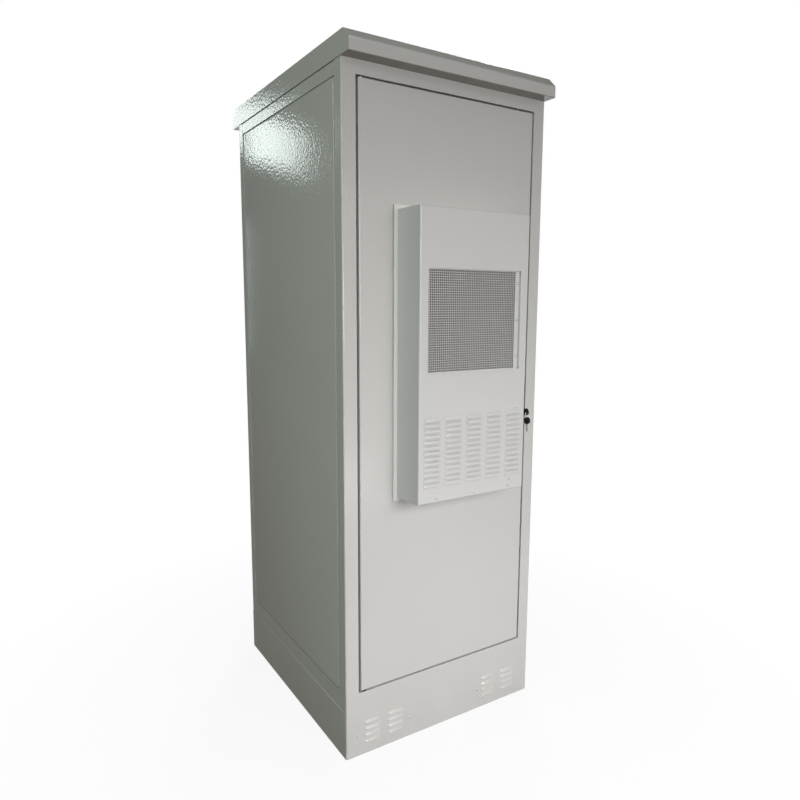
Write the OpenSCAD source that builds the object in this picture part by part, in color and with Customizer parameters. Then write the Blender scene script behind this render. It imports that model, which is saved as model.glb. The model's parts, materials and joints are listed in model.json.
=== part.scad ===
// Roadside utility cabinet: folded sheet-steel body on a plinth, roof hood, one flush door
// on pivot pins, a cooling unit on the door and a swing-handle rod lock.
// Millimetres. +X to the right of the front, the front faces -Y, +Z up.
// Origin: centre of the body's footprint on the ground, also the centre of the anchor holes.

/* [Cabinet] */
// Width of the body
cab_w = 700; // [660:10:900]
// Depth of the body
cab_d = 780; // [700:10:1000]
// Height from the ground to the top of the hood
cab_h = 2000; // [1900:10:2200]
// Height of the plinth
plinth_h = 146; // [130:2:180]
// Thickness of the body sheet
sheet = 2; // [1.5:0.1:2.5]
// Outside radius of the folds
bend_r = 4; // [3:0.5:6]
// Depth of the corner posts
post_d = 36; // [34:1:50]

/* [Hood] */
// Height of the hood
hood_h = 62; // [52:1:80]
// Height of the hood's upright edge
fascia_h = 33; // [16:1:36]
// Hood overhang at the front
hood_front = 44; // [30:1:60]
// Hood overhang at the back
hood_back = 64; // [30:1:90]
// Outside radius of the hood's folds
hood_fold = 12; // [4:0.5:12]

/* [Frame and door] */
// Width of the stiles beside the door
stile_w = 42; // [40:1:60]
// Height of the rail above the door
head_h = 36; // [30:1:60]
// Height of the sill between plinth and door
sill_h = 52; // [40:1:70]
// Width of the frame's sealing lip
lip_w = 24; // [22:1:26]
// Gap at the door's hinge edge
hinge_gap = 8; // [7:0.5:10]
// Gap at the door's other edges and around the panels
gap = 4; // [3.5:0.5:6]
// Depth of the door's folded edge
door_d = 22; // [22:1:28]
// Width of the door's return lip
door_lip = 20; // [18:1:24]
// Distance of the pivot from the door's edge and from its face
pivot_in = 12; // [10:0.5:12]
// Radius of the hinge pins
pin_r = 5; // [4:0.5:6]
// Free thickness of the door gasket
gasket_t = 6.4; // [5:0.2:8]
// Corner radius of the inset panels
panel_r = 15; // [8:1:25]

/* [Cooling unit] */
// Distance from the door's hinge edge to the cover
ac_left = 118; // [106:1:130]
// Distance from the door's free edge to the cover
ac_right = 106; // [96:1:118]
// Height of the cover
ac_h = 804; // [790:2:900]
// Distance from the door's face to the front of the cover
ac_out = 115; // [105:1:140]
// Height of the cover's lower edge above the ground
ac_z = 773; // [740:1:800]
// Thickness of the unit's sheet
ac_sheet = 1.5; // [1.2:0.1:2]
// Depth of the unit inside the door
ac_in = 90; // [80:1:110]
// Width of the mounting flange outside the cover
flange_w = 12; // [8:1:16]
// Distance from the cover's sides to the grille opening
grille_edge = 28; // [25:1:38]
// Height of the grille opening
grille_h = 281; // [260:1:290]
// Height of the grille opening above the cover's lower edge
grille_up = 363; // [355:1:380]
// How far the grille sits back
grille_deep = 8; // [5:0.5:12]
// Plain strip at the grille's right side, which takes its screws
grille_strip = 14; // [12:1:18]
// Gaps across the grille plate
grille_cols = 10; // [6:1:10]
// Gaps up the grille plate
grille_rows = 10; // [6:1:11]
// Width of the bars between the gaps
grille_bar = 5; // [3:0.5:8]

/* [Louvres] */
// Length of a cover louvre
louvre_len = 58; // [48:1:60]
// Bulge of a louvre
louvre_out = 5; // [4:0.5:6]
// Height of a louvre
louvre_h = 9; // [8:0.5:10]
// Least distance from the cover's sides to the louvres
louvre_edge = 12; // [10:1:14]
// Louvre rows on the cover
louvre_rows = 13; // [6:1:13]
// Spacing of the columns
louvre_dx = 73; // [66:1:74]
// Spacing of the rows
louvre_dz = 15.2; // [14.5:0.1:15.5]
// Height of the lowest row above the cover's lower edge
louvre_up = 49; // [46:1:56]
// Rows in a group of apron louvres
apron_rows = 4; // [2:1:5]
// Spacing of the apron rows
apron_dz = 20; // [16:1:21]
// Height of the lowest apron louvre above the ground
apron_up = 36; // [30:1:44]
// Distance of the outer apron groups from the body's side
apron_edge = 89; // [86:1:106]
// Distance between the outer and inner apron groups
apron_dx = 81; // [76:1:88]
// Distance of the outer apron screws from the middle of the outer group
apron_screw_dx = 50; // [46:1:60]
// Distance of the inner apron screws from the middle of the inner group
apron_screw_in = 46; // [46:1:80]
// Height of the apron screws above the ground
apron_screw_z = 64; // [50:1:90]

/* [Lock] */
// Distance of the lock from the door's free edge
lock_in = 42; // [41:1:46]
// Height of the lock above the ground
lock_z = 1048; // [980:1:1100]
// Height of the handle base
base_h = 164; // [158:1:180]
// Width of the handle base
base_w = 34; // [30:1:36]
// Thickness of the handle base
base_t = 8; // [6:0.5:9]
// Width of the lever
lever_w = 26; // [25:0.5:30]
// Distance from the handle base's middle up to the lever's pivot
lever_up = 60; // [56:1:62]
// Distance from the handle base's middle down to the lock plug
plug_down = 58; // [54:1:60]
// Radius of the lock plug
plug_r = 9; // [8:0.5:9.5]
// Travel of the lock rods in a quarter turn
rod_stroke = 16; // [14:0.5:17]
// Teeth of the lock pinion
pinion_teeth = 12; // [10:2:14]
// Width of the lock rods
rod_w = 4; // [3:0.5:4]
// Depth of the lock rods
rod_d = 8; // [6:0.5:8]

/* [Rack] */
// Spacing of the rack's hole lines
rack_span = 465.1; // [465.1:0.1:465.9]
// Height units of the rack
rack_units = 36; // [20:1:36]
// Distance of the front rack rails from the cabinet's front
rail_front = 150; // [140:5:200]
// Distance between front and rear rack rails
rail_span = 440; // [300:10:450]

/* [Fits] */
// Radial clearance of a running fit
run_fit = 0.06; // [0.03:0.01:0.09]
// Clearance between pieces that move past each other
clear = 0.6; // [0.4:0.1:0.8]

/* [Hidden] */
$fn = 64;
eps = 1;
rack_unit_h = 44.45;
paint = [0.80, 0.80, 0.77];
paint_light = [0.86, 0.86, 0.84];
zinc = [0.72, 0.73, 0.75];
black = [0.08, 0.08, 0.09];
copper = [0.72, 0.45, 0.28];

// Body planes
side_x = cab_w / 2;
front_y = -cab_d / 2;
back_y = cab_d / 2;
body_top = cab_h - hood_h;
post_y = back_y - post_d;
rail_x = side_x - 2 * sheet;
depth_rail = 30;
rack_x = rail_x - depth_rail;

// Door opening, door and pivot
open_x = side_x - stile_w;
open_z0 = plinth_h + sill_h;
open_z1 = body_top - head_h;
door_x0 = -open_x + hinge_gap;
door_x1 = open_x - gap;
door_z0 = open_z0 + gap;
door_z1 = open_z1 - gap;
door_in = front_y + sheet;
door_back = front_y + door_d;
lip_y = door_back + gasket_t + clear;
pivot_x = door_x0 + pivot_in;
pivot_y = front_y + pivot_in;
bush_wall = 3;
bush_len = 14;
bush_rim = 1.5;

// Plinth
plinth_t = 3;
plinth_flange = 50;
anchor_r = 7;
anchor_x = side_x - 30;
anchor_y = back_y - 32;
apron_outer = side_x - apron_edge;
apron_inner = apron_outer - apron_dx;
apron_x = [apron_outer, apron_inner];
apron_screw_x = [apron_outer + apron_screw_dx, apron_inner - apron_screw_in];
window_rim = 12;

// Cooling unit
ac_w = door_x1 - door_x0 - ac_left - ac_right;
ac_x = door_x0 + ac_left + ac_w / 2;
ac_y = front_y - ac_out;
seal_t = 3;
flange_y = front_y - seal_t - sheet;
body_in = 22;
ac_body_x = ac_w / 2 - body_in;
ac_body_z0 = ac_z + body_in;
ac_body_z1 = ac_z + ac_h - body_in;
ac_back = front_y + ac_in;
cut_play = 2;
grille_w = ac_w - 2 * grille_edge;
grille_z = ac_z + grille_up;
grille_y = ac_y + grille_deep;
grille_t = 1;
grille_seat = 10;
wall_y = front_y + 8;
filter_t = 8;
coil_w = ac_body_x + 6;
outer_fan_r = 98;
outer_fan_z = grille_z + grille_h / 2;
inner_fan_r = 86;
inner_fan_z = ac_body_z1 - 155;
louvre_cols = floor((ac_w - 2 * louvre_edge - louvre_len) / louvre_dx) + 1;
louvre_z = ac_z + louvre_up;
louvre_axis = (louvre_h * louvre_h - louvre_out * louvre_out) / (2 * louvre_out);
louvre_r = louvre_axis + louvre_out;
louvre_skin = 1.2;
screw_r = 3.6;
screw_h = 2.4;
shank_r = 2;

// Lock
lock_x = door_x1 - lock_in;
spindle_z = lock_z + lever_up;
plug_z = lock_z - plug_down;
pitch_r = rod_stroke / (PI / 2);
tooth_m = 2 * pitch_r / pinion_teeth;
tooth_add = 0.8 * tooth_m;
tooth_ded = tooth_m;
pressure = 25;
backlash = 0.3;
rod_y = door_in + 4;
rod_x = pitch_r + tooth_ded;
boss_r = 13;
boss_out = 4;
shaft_r = 8;
tilt_r = 3;
tilt_out = 22;
lever_out0 = base_t + 1;
lever_out1 = 36;
tongue_w = 16;
cheek_t = 4;
case_wall = 1.2;
case_d = rod_d + 8;
rod_short = 1;
rod_play = 0.3;
rod_top = open_z1 - rod_short;
rod_bottom = open_z0 + rod_short;
keeper_play = 1;
key_head_r = 11;
key_head_y = front_y - lever_out1 - 17;
ring_r = 9;
ring_wire = 1;
ring_drop = 1.2;

// Extrusions along one axis between two planes; 2-D shapes are drawn as (x, y), (x, z) or (y, z)
module along_z(z0, z1) {
  translate([0, 0, z0]) linear_extrude(z1 - z0) children();
}
module along_y(y0, y1) {
  translate([0, y1, 0]) rotate([90, 0, 0]) linear_extrude(y1 - y0) children();
}
module along_x(x0, x1) {
  translate([x0, 0, 0]) rotate([90, 0, 90]) linear_extrude(x1 - x0) children();
}

// Rectangle between two corners
module rect(a0, a1, b0, b1) {
  translate([a0, b0]) square([a1 - a0, b1 - b0]);
}

// Rectangle with all corners round
module round_rect(a0, a1, b0, b1, r) {
  rect(a0 + r, a1 - r, b0, b1);
  rect(a0, a1, b0 + r, b1 - r);
  for (a = [a0 + r, a1 - r], b = [b0 + r, b1 - r])
    translate([a, b]) circle(r);
}

// Rectangular ring: the rectangle grown by out and shrunk by in
module ring_rect(a0, a1, b0, b1, out, in) {
  difference() {
    rect(a0 - out, a1 + out, b0 - out, b1 + out);
    rect(a0 + in, a1 - in, b0 + in, b1 - in);
  }
}

// Rectangle with the two corners at b0 round, the end view of a folded sheet
module fold_end(a0, a1, b0, b1, r) {
  rect(a0, a1, b0 + r, b1);
  rect(a0 + r, a1 - r, b0, b1);
  for (a = [a0 + r, a1 - r])
    translate([a, b0 + r]) circle(r);
}

// Solid block whose four front edges are round
module fold_block(x0, x1, y0, y1, z0, z1, r) {
  intersection() {
    along_z(z0, z1) fold_end(x0, x1, y0, y1, r);
    along_x(x0, x1) mirror([1, -1, 0]) fold_end(z0, z1, y0, y1, r);
  }
}

// Pan folded from one sheet, open at the back
module fold_pan(x0, x1, y0, y1, z0, z1, t, r) {
  difference() {
    fold_block(x0, x1, y0, y1, z0, z1, r);
    fold_block(x0 + t, x1 - t, y0 + t, y1 + eps, z0 + t, z1 - t, r - t);
  }
}

// Round bar or hole along Y
module bar_y(x, z, y0, y1, r) {
  translate([x, y1, z]) rotate([90, 0, 0]) cylinder(h = y1 - y0, r = r);
}

// Round bar or hole along X
module bar_x(y, z, x0, x1, r) {
  translate([x0, y, z]) rotate([0, 90, 0]) cylinder(h = x1 - x0, r = r);
}

// Round bar or hole along Z
module bar_z(x, y, z0, z1, r) {
  translate([x, y, z0]) cylinder(h = z1 - z0, r = r);
}

// Upper half of a bar with ball ends, along X
module half_capsule(len, r) {
  intersection() {
    rotate([0, 90, 0]) rotate_extrude() intersection() {
      union() {
        rect(-r, r, -len / 2, len / 2);
        for (v = [-len / 2, len / 2])
          translate([0, v]) circle(r);
      }
      rect(0, r, -len / 2 - r, len / 2 + r);
    }
    translate([-len / 2 - r, -r, 0]) cube([len + 2 * r, 2 * r, r]);
  }
}

// One pressed louvre at the origin of a panel whose face is y = 0; inset 0 gives the outside
module louvre(len, inset, depth) {
  intersection() {
    translate([0, louvre_axis, 0]) half_capsule(len - 2 * louvre_h, louvre_r - inset);
    translate([-len, -2 * louvre_out, 0]) cube([2 * len, 2 * louvre_out + depth, 2 * louvre_h]);
  }
}

// Panel (child 0) with louvres pressed out at a list of [x, z] places
module louvred(places, y, len, t) {
  difference() {
    union() {
      children();
      for (p = places)
        translate([p[0], y, p[1]]) louvre(len, 0, t / 2);
    }
    for (p = places)
      translate([p[0], y, p[1] - 0.01]) louvre(len, louvre_skin, t + eps);
  }
}

// Pan-head screw seen from the front, head on the plane y
module screw(x, z, y, grip) {
  translate([x, y, z]) rotate([90, 0, 0]) intersection() {
    cylinder(h = screw_h, r = screw_r);
    translate([0, 0, screw_h - 2 * screw_r]) sphere(2 * screw_r);
  }
  bar_y(x, z, y - screw_h / 2, y + grip, shank_r);
}

// Places of the apron louvres
apron_places = [
  for (s = [-1, 1], x = apron_x, i = [0 : apron_rows - 1]) [s * x, apron_up + i * apron_dz]
];

// Places of the cover louvres
cover_places = [
  for (c = [0 : louvre_cols - 1], i = [0 : louvre_rows - 1])
    [ac_x + (c - (louvre_cols - 1) / 2) * louvre_dx, louvre_z + i * louvre_dz]
];

// Plinth: a folded ring with flanges at top and bottom and anchor holes below
module plinth() {
  y0 = door_in;
  color(paint) difference() {
    intersection() {
      along_y(y0, back_y) mirror([0, 1]) fold_end(-side_x, side_x, -plinth_h, 0, bend_r);
      along_x(-side_x, side_x) mirror([0, 1]) fold_end(y0, back_y, -plinth_h, 0, bend_r);
    }
    along_z(plinth_t, plinth_h - plinth_t)
      rect(-side_x + plinth_t, side_x - plinth_t, y0 + plinth_t, back_y - plinth_t);
    along_z(-eps, plinth_h + eps)
      rect(-side_x + plinth_flange, side_x - plinth_flange, y0 + plinth_flange, back_y - plinth_flange);
    for (x = [-anchor_x, anchor_x], y = [-anchor_y, anchor_y])
      bar_z(x, y, -eps, plinth_t + eps, anchor_r);
    for (s = [-1, 1], x = apron_screw_x)
      bar_y(s * x, apron_screw_z, y0 - eps, y0 + plinth_t + eps, shank_r + run_fit);
    for (s = [-1, 1])
      along_y(y0 - eps, y0 + plinth_t + eps)
        mirror([(1 - s) / 2, 0])
          rect(apron_inner - louvre_len / 2 - window_rim, apron_outer + louvre_len / 2 + window_rim,
               apron_up - window_rim, apron_up + apron_dz * (apron_rows - 1) + louvre_h + window_rim);
  }
}

// Front frame: folded posts, head and apron in one welded ring, with jambs and a sealing lip
module front_frame() {
  y1 = front_y + post_d;
  color(paint) louvred(apron_places, front_y, louvre_len, sheet) difference() {
    union() {
      difference() {
        along_z(plinth_h, body_top) fold_end(-side_x, side_x, front_y, y1, bend_r);
        along_z(plinth_h - eps, body_top + eps)
          fold_end(-side_x + sheet, side_x - sheet, door_in, y1 + eps, bend_r - sheet);
      }
      along_y(front_y, door_in) rect(-side_x + bend_r, side_x - bend_r, 0, plinth_h + eps);
      along_z(0, plinth_h) intersection() {
        fold_end(-side_x, side_x, front_y, y1, bend_r);
        rect(-side_x, side_x, front_y, door_in);
      }
      along_y(y1 - sheet, y1) rect(-side_x + sheet, side_x - sheet, plinth_h, body_top);
      along_y(front_y, y1) ring_rect(-open_x, open_x, open_z0, open_z1, sheet, 0);
      along_y(lip_y, lip_y + sheet) ring_rect(-open_x, open_x, open_z0, open_z1, sheet, lip_w);
    }
    for (y = [[front_y - eps, lip_y], [lip_y + sheet, y1 + eps]])
      along_y(y[0], y[1]) rect(-open_x, open_x, open_z0, open_z1);
    bar_z(pivot_x, pivot_y, open_z0 - 2 * sheet, open_z0 + eps, pin_r + bush_wall);
    bar_z(pivot_x, pivot_y, open_z1 - eps, open_z1 + 2 * sheet, pin_r + bush_wall);
    along_z(open_z1 - eps, open_z1 + 2 * sheet) rod_end_outline(1, keeper_play);
    along_z(open_z0 - 2 * sheet, open_z0 + eps) rod_end_outline(0, keeper_play);
    for (s = [-1, 1], x = apron_screw_x)
      bar_y(s * x, apron_screw_z, front_y - eps, door_in + eps, shank_r + run_fit);
  }
}

// Rear frame: folded posts, head and sill round the back panel
module rear_frame() {
  color(paint) difference() {
    union() {
      difference() {
        along_z(plinth_h, body_top)
          mirror([0, 1]) fold_end(-side_x, side_x, -back_y, -post_y, bend_r);
        along_z(plinth_h - eps, body_top + eps)
          mirror([0, 1]) fold_end(-side_x + sheet, side_x - sheet, -back_y + sheet, -post_y + eps,
                                  bend_r - sheet);
      }
      along_y(post_y, post_y + sheet) rect(-side_x + sheet, side_x - sheet, plinth_h, body_top);
    }
    along_y(post_y - eps, back_y + eps) rect(-open_x, open_x, open_z0, open_z1);
  }
}

// Rectangle with one round corner, at a0 and b0
module corner_rect(a0, a1, b0, b1, r) {
  rect(a0, a1, b0 + r, b1);
  rect(a0 + r, a1, b0, b1);
  translate([a0 + r, b0 + r]) circle(r);
}

// Side rail as (x, z) for the left side: web, folded flange and a turned-in lip
module side_rail(z_edge, z_flange) {
  dir = sign(z_edge - z_flange);
  web = abs(z_edge - z_flange);
  flange = depth_rail + 2;
  lip = 15;
  along_y(-post_y, post_y) translate([-side_x, z_flange]) mirror([0, (1 - dir) / 2]) difference() {
    corner_rect(0, flange, 0, web, bend_r);
    corner_rect(sheet, flange - sheet, sheet, web + eps, bend_r - sheet);
    rect(flange - sheet - eps, flange + eps, lip, web + eps);
  }
}
module upper_side_rails() {
  color(paint) difference() {
    for (m = [0, 1])
      mirror([m, 0, 0]) side_rail(open_z1, body_top);
    roof_bolt_places() cylinder(h = 8 * sheet, r = roof_bolt_r + run_fit, center = true);
  }
}
module lower_side_rails() {
  color(paint) for (m = [0, 1])
    mirror([m, 0, 0]) side_rail(open_z0, plinth_h);
}

// Inset panel as a pressed pan: raised field with round corners on a flat rim.
// Drawn as (across, up) in the plane of the panel, extruded outwards from 0.
module pressed_panel(half, rim_half, rim_up) {
  difference() {
    union() {
      linear_extrude(2 * sheet)
        round_rect(-half + gap, half - gap, open_z0 + gap, open_z1 - gap, panel_r);
      linear_extrude(sheet) rect(-rim_half, rim_half, open_z0 - rim_up, open_z1 + rim_up);
    }
    translate([0, 0, -eps]) linear_extrude(sheet + eps)
      round_rect(-half + gap + sheet, half - gap - sheet, open_z0 + gap + sheet,
                 open_z1 - gap - sheet, panel_r - sheet);
  }
}
module side_panel_left() {
  color(paint) translate([-side_x + 2 * sheet, 0, 0]) rotate([90, 0, -90])
    pressed_panel(post_y, post_y, 12);
}
module side_panel_right() {
  color(paint) mirror([1, 0, 0]) side_panel_left();
}
module back_panel() {
  color(paint) translate([0, back_y - 2 * sheet, 0]) rotate([90, 0, 180])
    pressed_panel(open_x, open_x + 12, 12);
}

// Plates that close the body above and below
module top_plate() {
  color(zinc) difference() {
    along_z(body_top, body_top + sheet)
      rect(-side_x + sheet, side_x - sheet, door_in, back_y - sheet);
    roof_bolt_places() cylinder(h = 8 * sheet, r = roof_bolt_r + run_fit, center = true);
  }
}
gland_x = 150;
gland_y0 = post_y - 210;
gland_y1 = post_y - 60;
module bottom_plate() {
  edge = side_x - depth_rail - 2;
  color(zinc) difference() {
    along_z(plinth_h, plinth_h + sheet) rect(-edge, edge, -post_y, post_y);
    along_z(plinth_h - eps, plinth_h + sheet + eps)
      rect(-gland_x, gland_x, gland_y0, gland_y1);
  }
}

// Roof hood: one folded profile with chamfered edges, soffits and flush end plates
module hood_outline(in) {
  r = hood_fold - in;
  t = r * tan(22.5);
  d = t * cos(45);
  run = hood_h - fascia_h + in * tan(22.5) - in;
  y0 = front_y - hood_front + in;
  y1 = back_y + hood_back - in;
  z0 = body_top + in;
  z1 = cab_h - in;
  fold_z = z1 - run;
  polygon([
    [y0, z0], [y0, fold_z - t], [y0 + d, fold_z + d], [y0 + run - d, z1 - d], [y0 + run + t, z1],
    [y1 - run - t, z1], [y1 - run + d, z1 - d], [y1 - d, fold_z + d], [y1, fold_z - t], [y1, z0]
  ]);
  for (p = [[y0 + r, fold_z - t], [y0 + run + t, z1 - r], [y1 - run - t, z1 - r], [y1 - r, fold_z - t]])
    translate(p) circle(r);
}
module roof_hood() {
  edge = side_x - sheet;
  color(paint) difference() {
    union() {
      difference() {
        along_x(-side_x, side_x) hood_outline(0);
        along_x(-edge, edge) hood_outline(sheet);
        along_z(body_top - eps, body_top + 2 * sheet) rect(-edge, edge, door_in, back_y - sheet);
        along_z(body_top - eps, body_top + hood_seam)
          rect(-side_x - eps, side_x + eps, door_in, back_y - sheet);
      }
      for (m = [0, 1])
        mirror([m, 0, 0]) along_z(body_top + sheet, body_top + 2 * sheet)
          rect(edge - hood_flange, edge + sheet / 2, -post_y, post_y);
    }
    roof_bolt_places() cylinder(h = 8 * sheet, r = roof_bolt_r + run_fit, center = true);
  }
}
hood_flange = 26;
hood_seam = sheet;
roof_bolt_r = 4;
module roof_bolt_places() {
  for (x = [-1, 1], y = [-1, 1])
    translate([x * (side_x - sheet - hood_flange / 2), y * post_y * 0.7, body_top]) children();
}
module roof_bolts() {
  color(zinc) roof_bolt_places() {
    translate([0, 0, -sheet - 5]) cylinder(h = 5, r = 7, $fn = 6);
    translate([0, 0, -sheet - 1]) cylinder(h = 3 * sheet + 12, r = roof_bolt_r);
    translate([0, 0, 2 * sheet]) cylinder(h = 6, r = 7, $fn = 6);
  }
}
module apron_screws() {
  color(zinc) for (s = [-1, 1], x = apron_screw_x)
    screw(s * x, apron_screw_z, front_y, sheet + 4);
}

// Cable entry
gland_r = 11;
function gland_places() = [
  for (i = [-1.5 : 1.5], j = [-0.5, 0.5]) [i * 68, (gland_y0 + gland_y1) / 2 + j * 70]
];
module gland_plate() {
  border = 18;
  z = plinth_h + sheet;
  color(zinc) difference() {
    along_z(z, z + sheet)
      round_rect(-gland_x - border, gland_x + border, gland_y0 - border, gland_y1 + border, 6);
    for (p = gland_places())
      bar_z(p[0], p[1], z - eps, z + sheet + eps, gland_r + run_fit);
  }
}
module cable_glands() {
  z = plinth_h + 2 * sheet;
  color(black) for (p = gland_places()) translate([p[0], p[1], z]) difference() {
    union() {
      cylinder(h = 7, r = 16, $fn = 6);
      cylinder(h = 22, r = 13);
      translate([0, 0, -14]) cylinder(h = 15, r = gland_r);
      translate([0, 0, -sheet - 6]) cylinder(h = 6, r = 15, $fn = 6);
    }
    translate([0, 0, -20]) cylinder(h = 60, r = 7);
  }
}

// Channels along the sides that carry the rack rails
depth_rail_z = [open_z0 + 80, (open_z0 + open_z1) / 2, open_z1 - 80];
module depth_rails() {
  color(zinc) for (m = [0, 1], z = depth_rail_z)
    mirror([m, 0, 0]) along_y(-post_y, post_y) difference() {
      rect(rack_x, rail_x, z - depth_rail / 2, z + depth_rail / 2);
      rect(rack_x + sheet, rail_x + eps, z - depth_rail / 2 + sheet, z + depth_rail / 2 - sheet);
    }
}

// Rack rail: a channel with three square holes to each height unit
rack_hole = 9.5;
rack_edge = 7.5;
rack_deep = 60;
rack_lip = 22;
rack_bolt_r = 3;
rack_z0 = (open_z0 + open_z1 - rack_units * rack_unit_h) / 2;
module rack_rail(y, dir) {
  x0 = rack_span / 2 - rack_edge;
  end = y + dir * rack_deep;
  color(zinc) difference() {
    along_z(plinth_h + sheet, body_top - 20) {
      rect(x0, rack_x, min(y, y + dir * sheet), max(y, y + dir * sheet));
      rect(rack_x - sheet, rack_x, min(y, end), max(y, end));
      rect(rack_x - rack_lip, rack_x, min(end, end - dir * sheet), max(end, end - dir * sheet));
    }
    along_y(y - 2 * sheet, y + 2 * sheet)
      for (u = [0 : rack_units - 1], h = [6.35, 22.225, 38.1])
        translate([rack_span / 2 - rack_hole / 2, rack_z0 + u * rack_unit_h + h - rack_hole / 2])
          square(rack_hole);
    for (z = depth_rail_z)
      bar_x((y + end) / 2, z, rack_x - 2 * sheet, rack_x + eps, rack_bolt_r + run_fit);
  }
}
rail_y = [front_y + rail_front, front_y + rail_front + rail_span];
module rack_rail_front_right() { rack_rail(rail_y[0], 1); }
module rack_rail_front_left() { mirror([1, 0, 0]) rack_rail(rail_y[0], 1); }
module rack_rail_rear_right() { rack_rail(rail_y[1], -1); }
module rack_rail_rear_left() { mirror([1, 0, 0]) rack_rail(rail_y[1], -1); }
module rail_bolts() {
  color(zinc) for (m = [0, 1], k = [0, 1], z = depth_rail_z) mirror([m, 0, 0]) {
    y = rail_y[k] + (1 - 2 * k) * rack_deep / 2;
    translate([rack_x - sheet - 4, y, z]) rotate([0, 90, 0]) cylinder(h = 4, r = 6, $fn = 6);
    bar_x(y, z, rack_x - sheet - 1, rack_x, rack_bolt_r);
  }
}

// Earth bar on two posts, with its studs
earth_up = 28;
earth_gap = 60;
earth_half = 110;
earth_w = 24;
earth_t = 5;
earth_pitch = 28;
earth_stud_r = 4;
earth_z = plinth_h + sheet + earth_up;
earth_y = gland_y0 - earth_gap;
module earth_bar() {
  post = earth_half - earth_w / 2;
  color(copper) difference() {
    union() {
      along_z(earth_z, earth_z + earth_t)
        rect(-earth_half, earth_half, earth_y - earth_w / 2, earth_y + earth_w / 2);
      for (x = [-post, post])
        bar_z(x, earth_y, plinth_h + sheet, earth_z + earth_t / 2, earth_w / 2 - 3);
    }
    for (i = [-2.5 : 2.5])
      bar_z(i * earth_pitch, earth_y, earth_z - eps, earth_z + earth_t + eps, earth_stud_r + run_fit);
  }
}
module earth_studs() {
  nut = 5;
  color(zinc) for (i = [-2.5 : 2.5]) translate([i * earth_pitch, earth_y, earth_z]) {
    translate([0, 0, -nut]) cylinder(h = earth_t + 3 * nut, r = earth_stud_r);
    translate([0, 0, -nut]) cylinder(h = nut, r = earth_stud_r + 3, $fn = 6);
    translate([0, 0, earth_t]) cylinder(h = nut, r = earth_stud_r + 3, $fn = 6);
  }
}

// Hinge bushes in the sill and the head, with a rim towards the door
module hinge_bush() {
  difference() {
    union() {
      translate([0, 0, -bush_len]) cylinder(h = bush_len, r = pin_r + bush_wall);
      cylinder(h = bush_rim, r = pin_r + bush_wall + 3);
    }
    translate([0, 0, -bush_len - eps]) cylinder(h = bush_len + 4 * eps, r = pin_r + run_fit);
  }
}
module hinge_bushes() {
  color(black) {
    translate([pivot_x, pivot_y, open_z0]) hinge_bush();
    translate([pivot_x, pivot_y, open_z1]) mirror([0, 0, 1]) hinge_bush();
  }
}

// Door pan with its return lip and cut-outs
module door_pan() {
  color(paint) difference() {
    union() {
      fold_pan(door_x0, door_x1, front_y, door_back, door_z0, door_z1, sheet, bend_r);
      along_y(door_back - sheet, door_back)
        ring_rect(door_x0, door_x1, door_z0, door_z1, 0, door_lip);
    }
    along_y(front_y - eps, door_in + eps)
      rect(ac_x - ac_body_x - cut_play, ac_x + ac_body_x + cut_play,
           ac_body_z0 - cut_play, ac_body_z1 + cut_play);
    bar_y(lock_x, spindle_z, front_y - eps, door_in + eps, shaft_r + run_fit);
    for (z = [door_z0, door_z1])
      bar_z(pivot_x, pivot_y, z - 2 * sheet, z + 2 * sheet, pin_r + run_fit);
    along_z(door_z1 - 2 * sheet, door_z1 + eps) rod_end_outline(1, rod_play);
    along_z(door_z0 - eps, door_z0 + 2 * sheet) rod_end_outline(0, rod_play);
  }
}

// Hat-section stiffeners spot-welded to the inside of the door
module hat_section(x, w, d, t) {
  foot = 10;
  translate([x, door_in]) difference() {
    union() {
      rect(-w / 2, w / 2, 0, t);
      rect(-w / 2 + foot, w / 2 - foot, 0, d);
    }
    rect(-w / 2 + foot + t, w / 2 - foot - t, -eps, d - t);
  }
}
module door_stiffeners() {
  x_left = (door_x0 + door_lip + ac_x - ac_body_x) / 2;
  x_right = ac_x + ac_body_x + 32;
  short = 40;
  wide = 44;
  color(zinc) for (x = [x_left, x_right])
    along_z(door_z0 + short, door_z1 - short) hat_section(x, wide, door_d - sheet - 4, ac_sheet);
}
module door_gasket() {
  edge = 10;
  color(black) along_y(door_back, door_back + gasket_t)
    ring_rect(door_x0 + edge, door_x1 - edge, door_z0 + edge, door_z1 - edge, 0, door_lip - edge - 2);
}
module hinge_brackets() {
  tall = 12;
  wide = 28;
  x0 = door_x0 + sheet;
  color(zinc) for (z = [door_z0 + sheet, door_z1 - sheet - tall]) difference() {
    fold_block(x0, x0 + wide, door_in, door_back - sheet, z, z + tall, bend_r);
    bar_z(pivot_x, pivot_y, z - eps, z + tall + eps, pin_r + run_fit);
  }
}
module hinge_pin() {
  seat = gap - bush_rim - 0.3;
  translate([0, 0, -gap - bush_len + 2]) cylinder(h = bush_len + gap + 14, r = pin_r);
  translate([0, 0, -seat]) cylinder(h = seat, r = pin_r + 3);
}
module hinge_pins() {
  color(zinc) {
    translate([pivot_x, pivot_y, door_z0]) hinge_pin();
    translate([pivot_x, pivot_y, door_z1]) mirror([0, 0, 1]) hinge_pin();
  }
}

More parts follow.
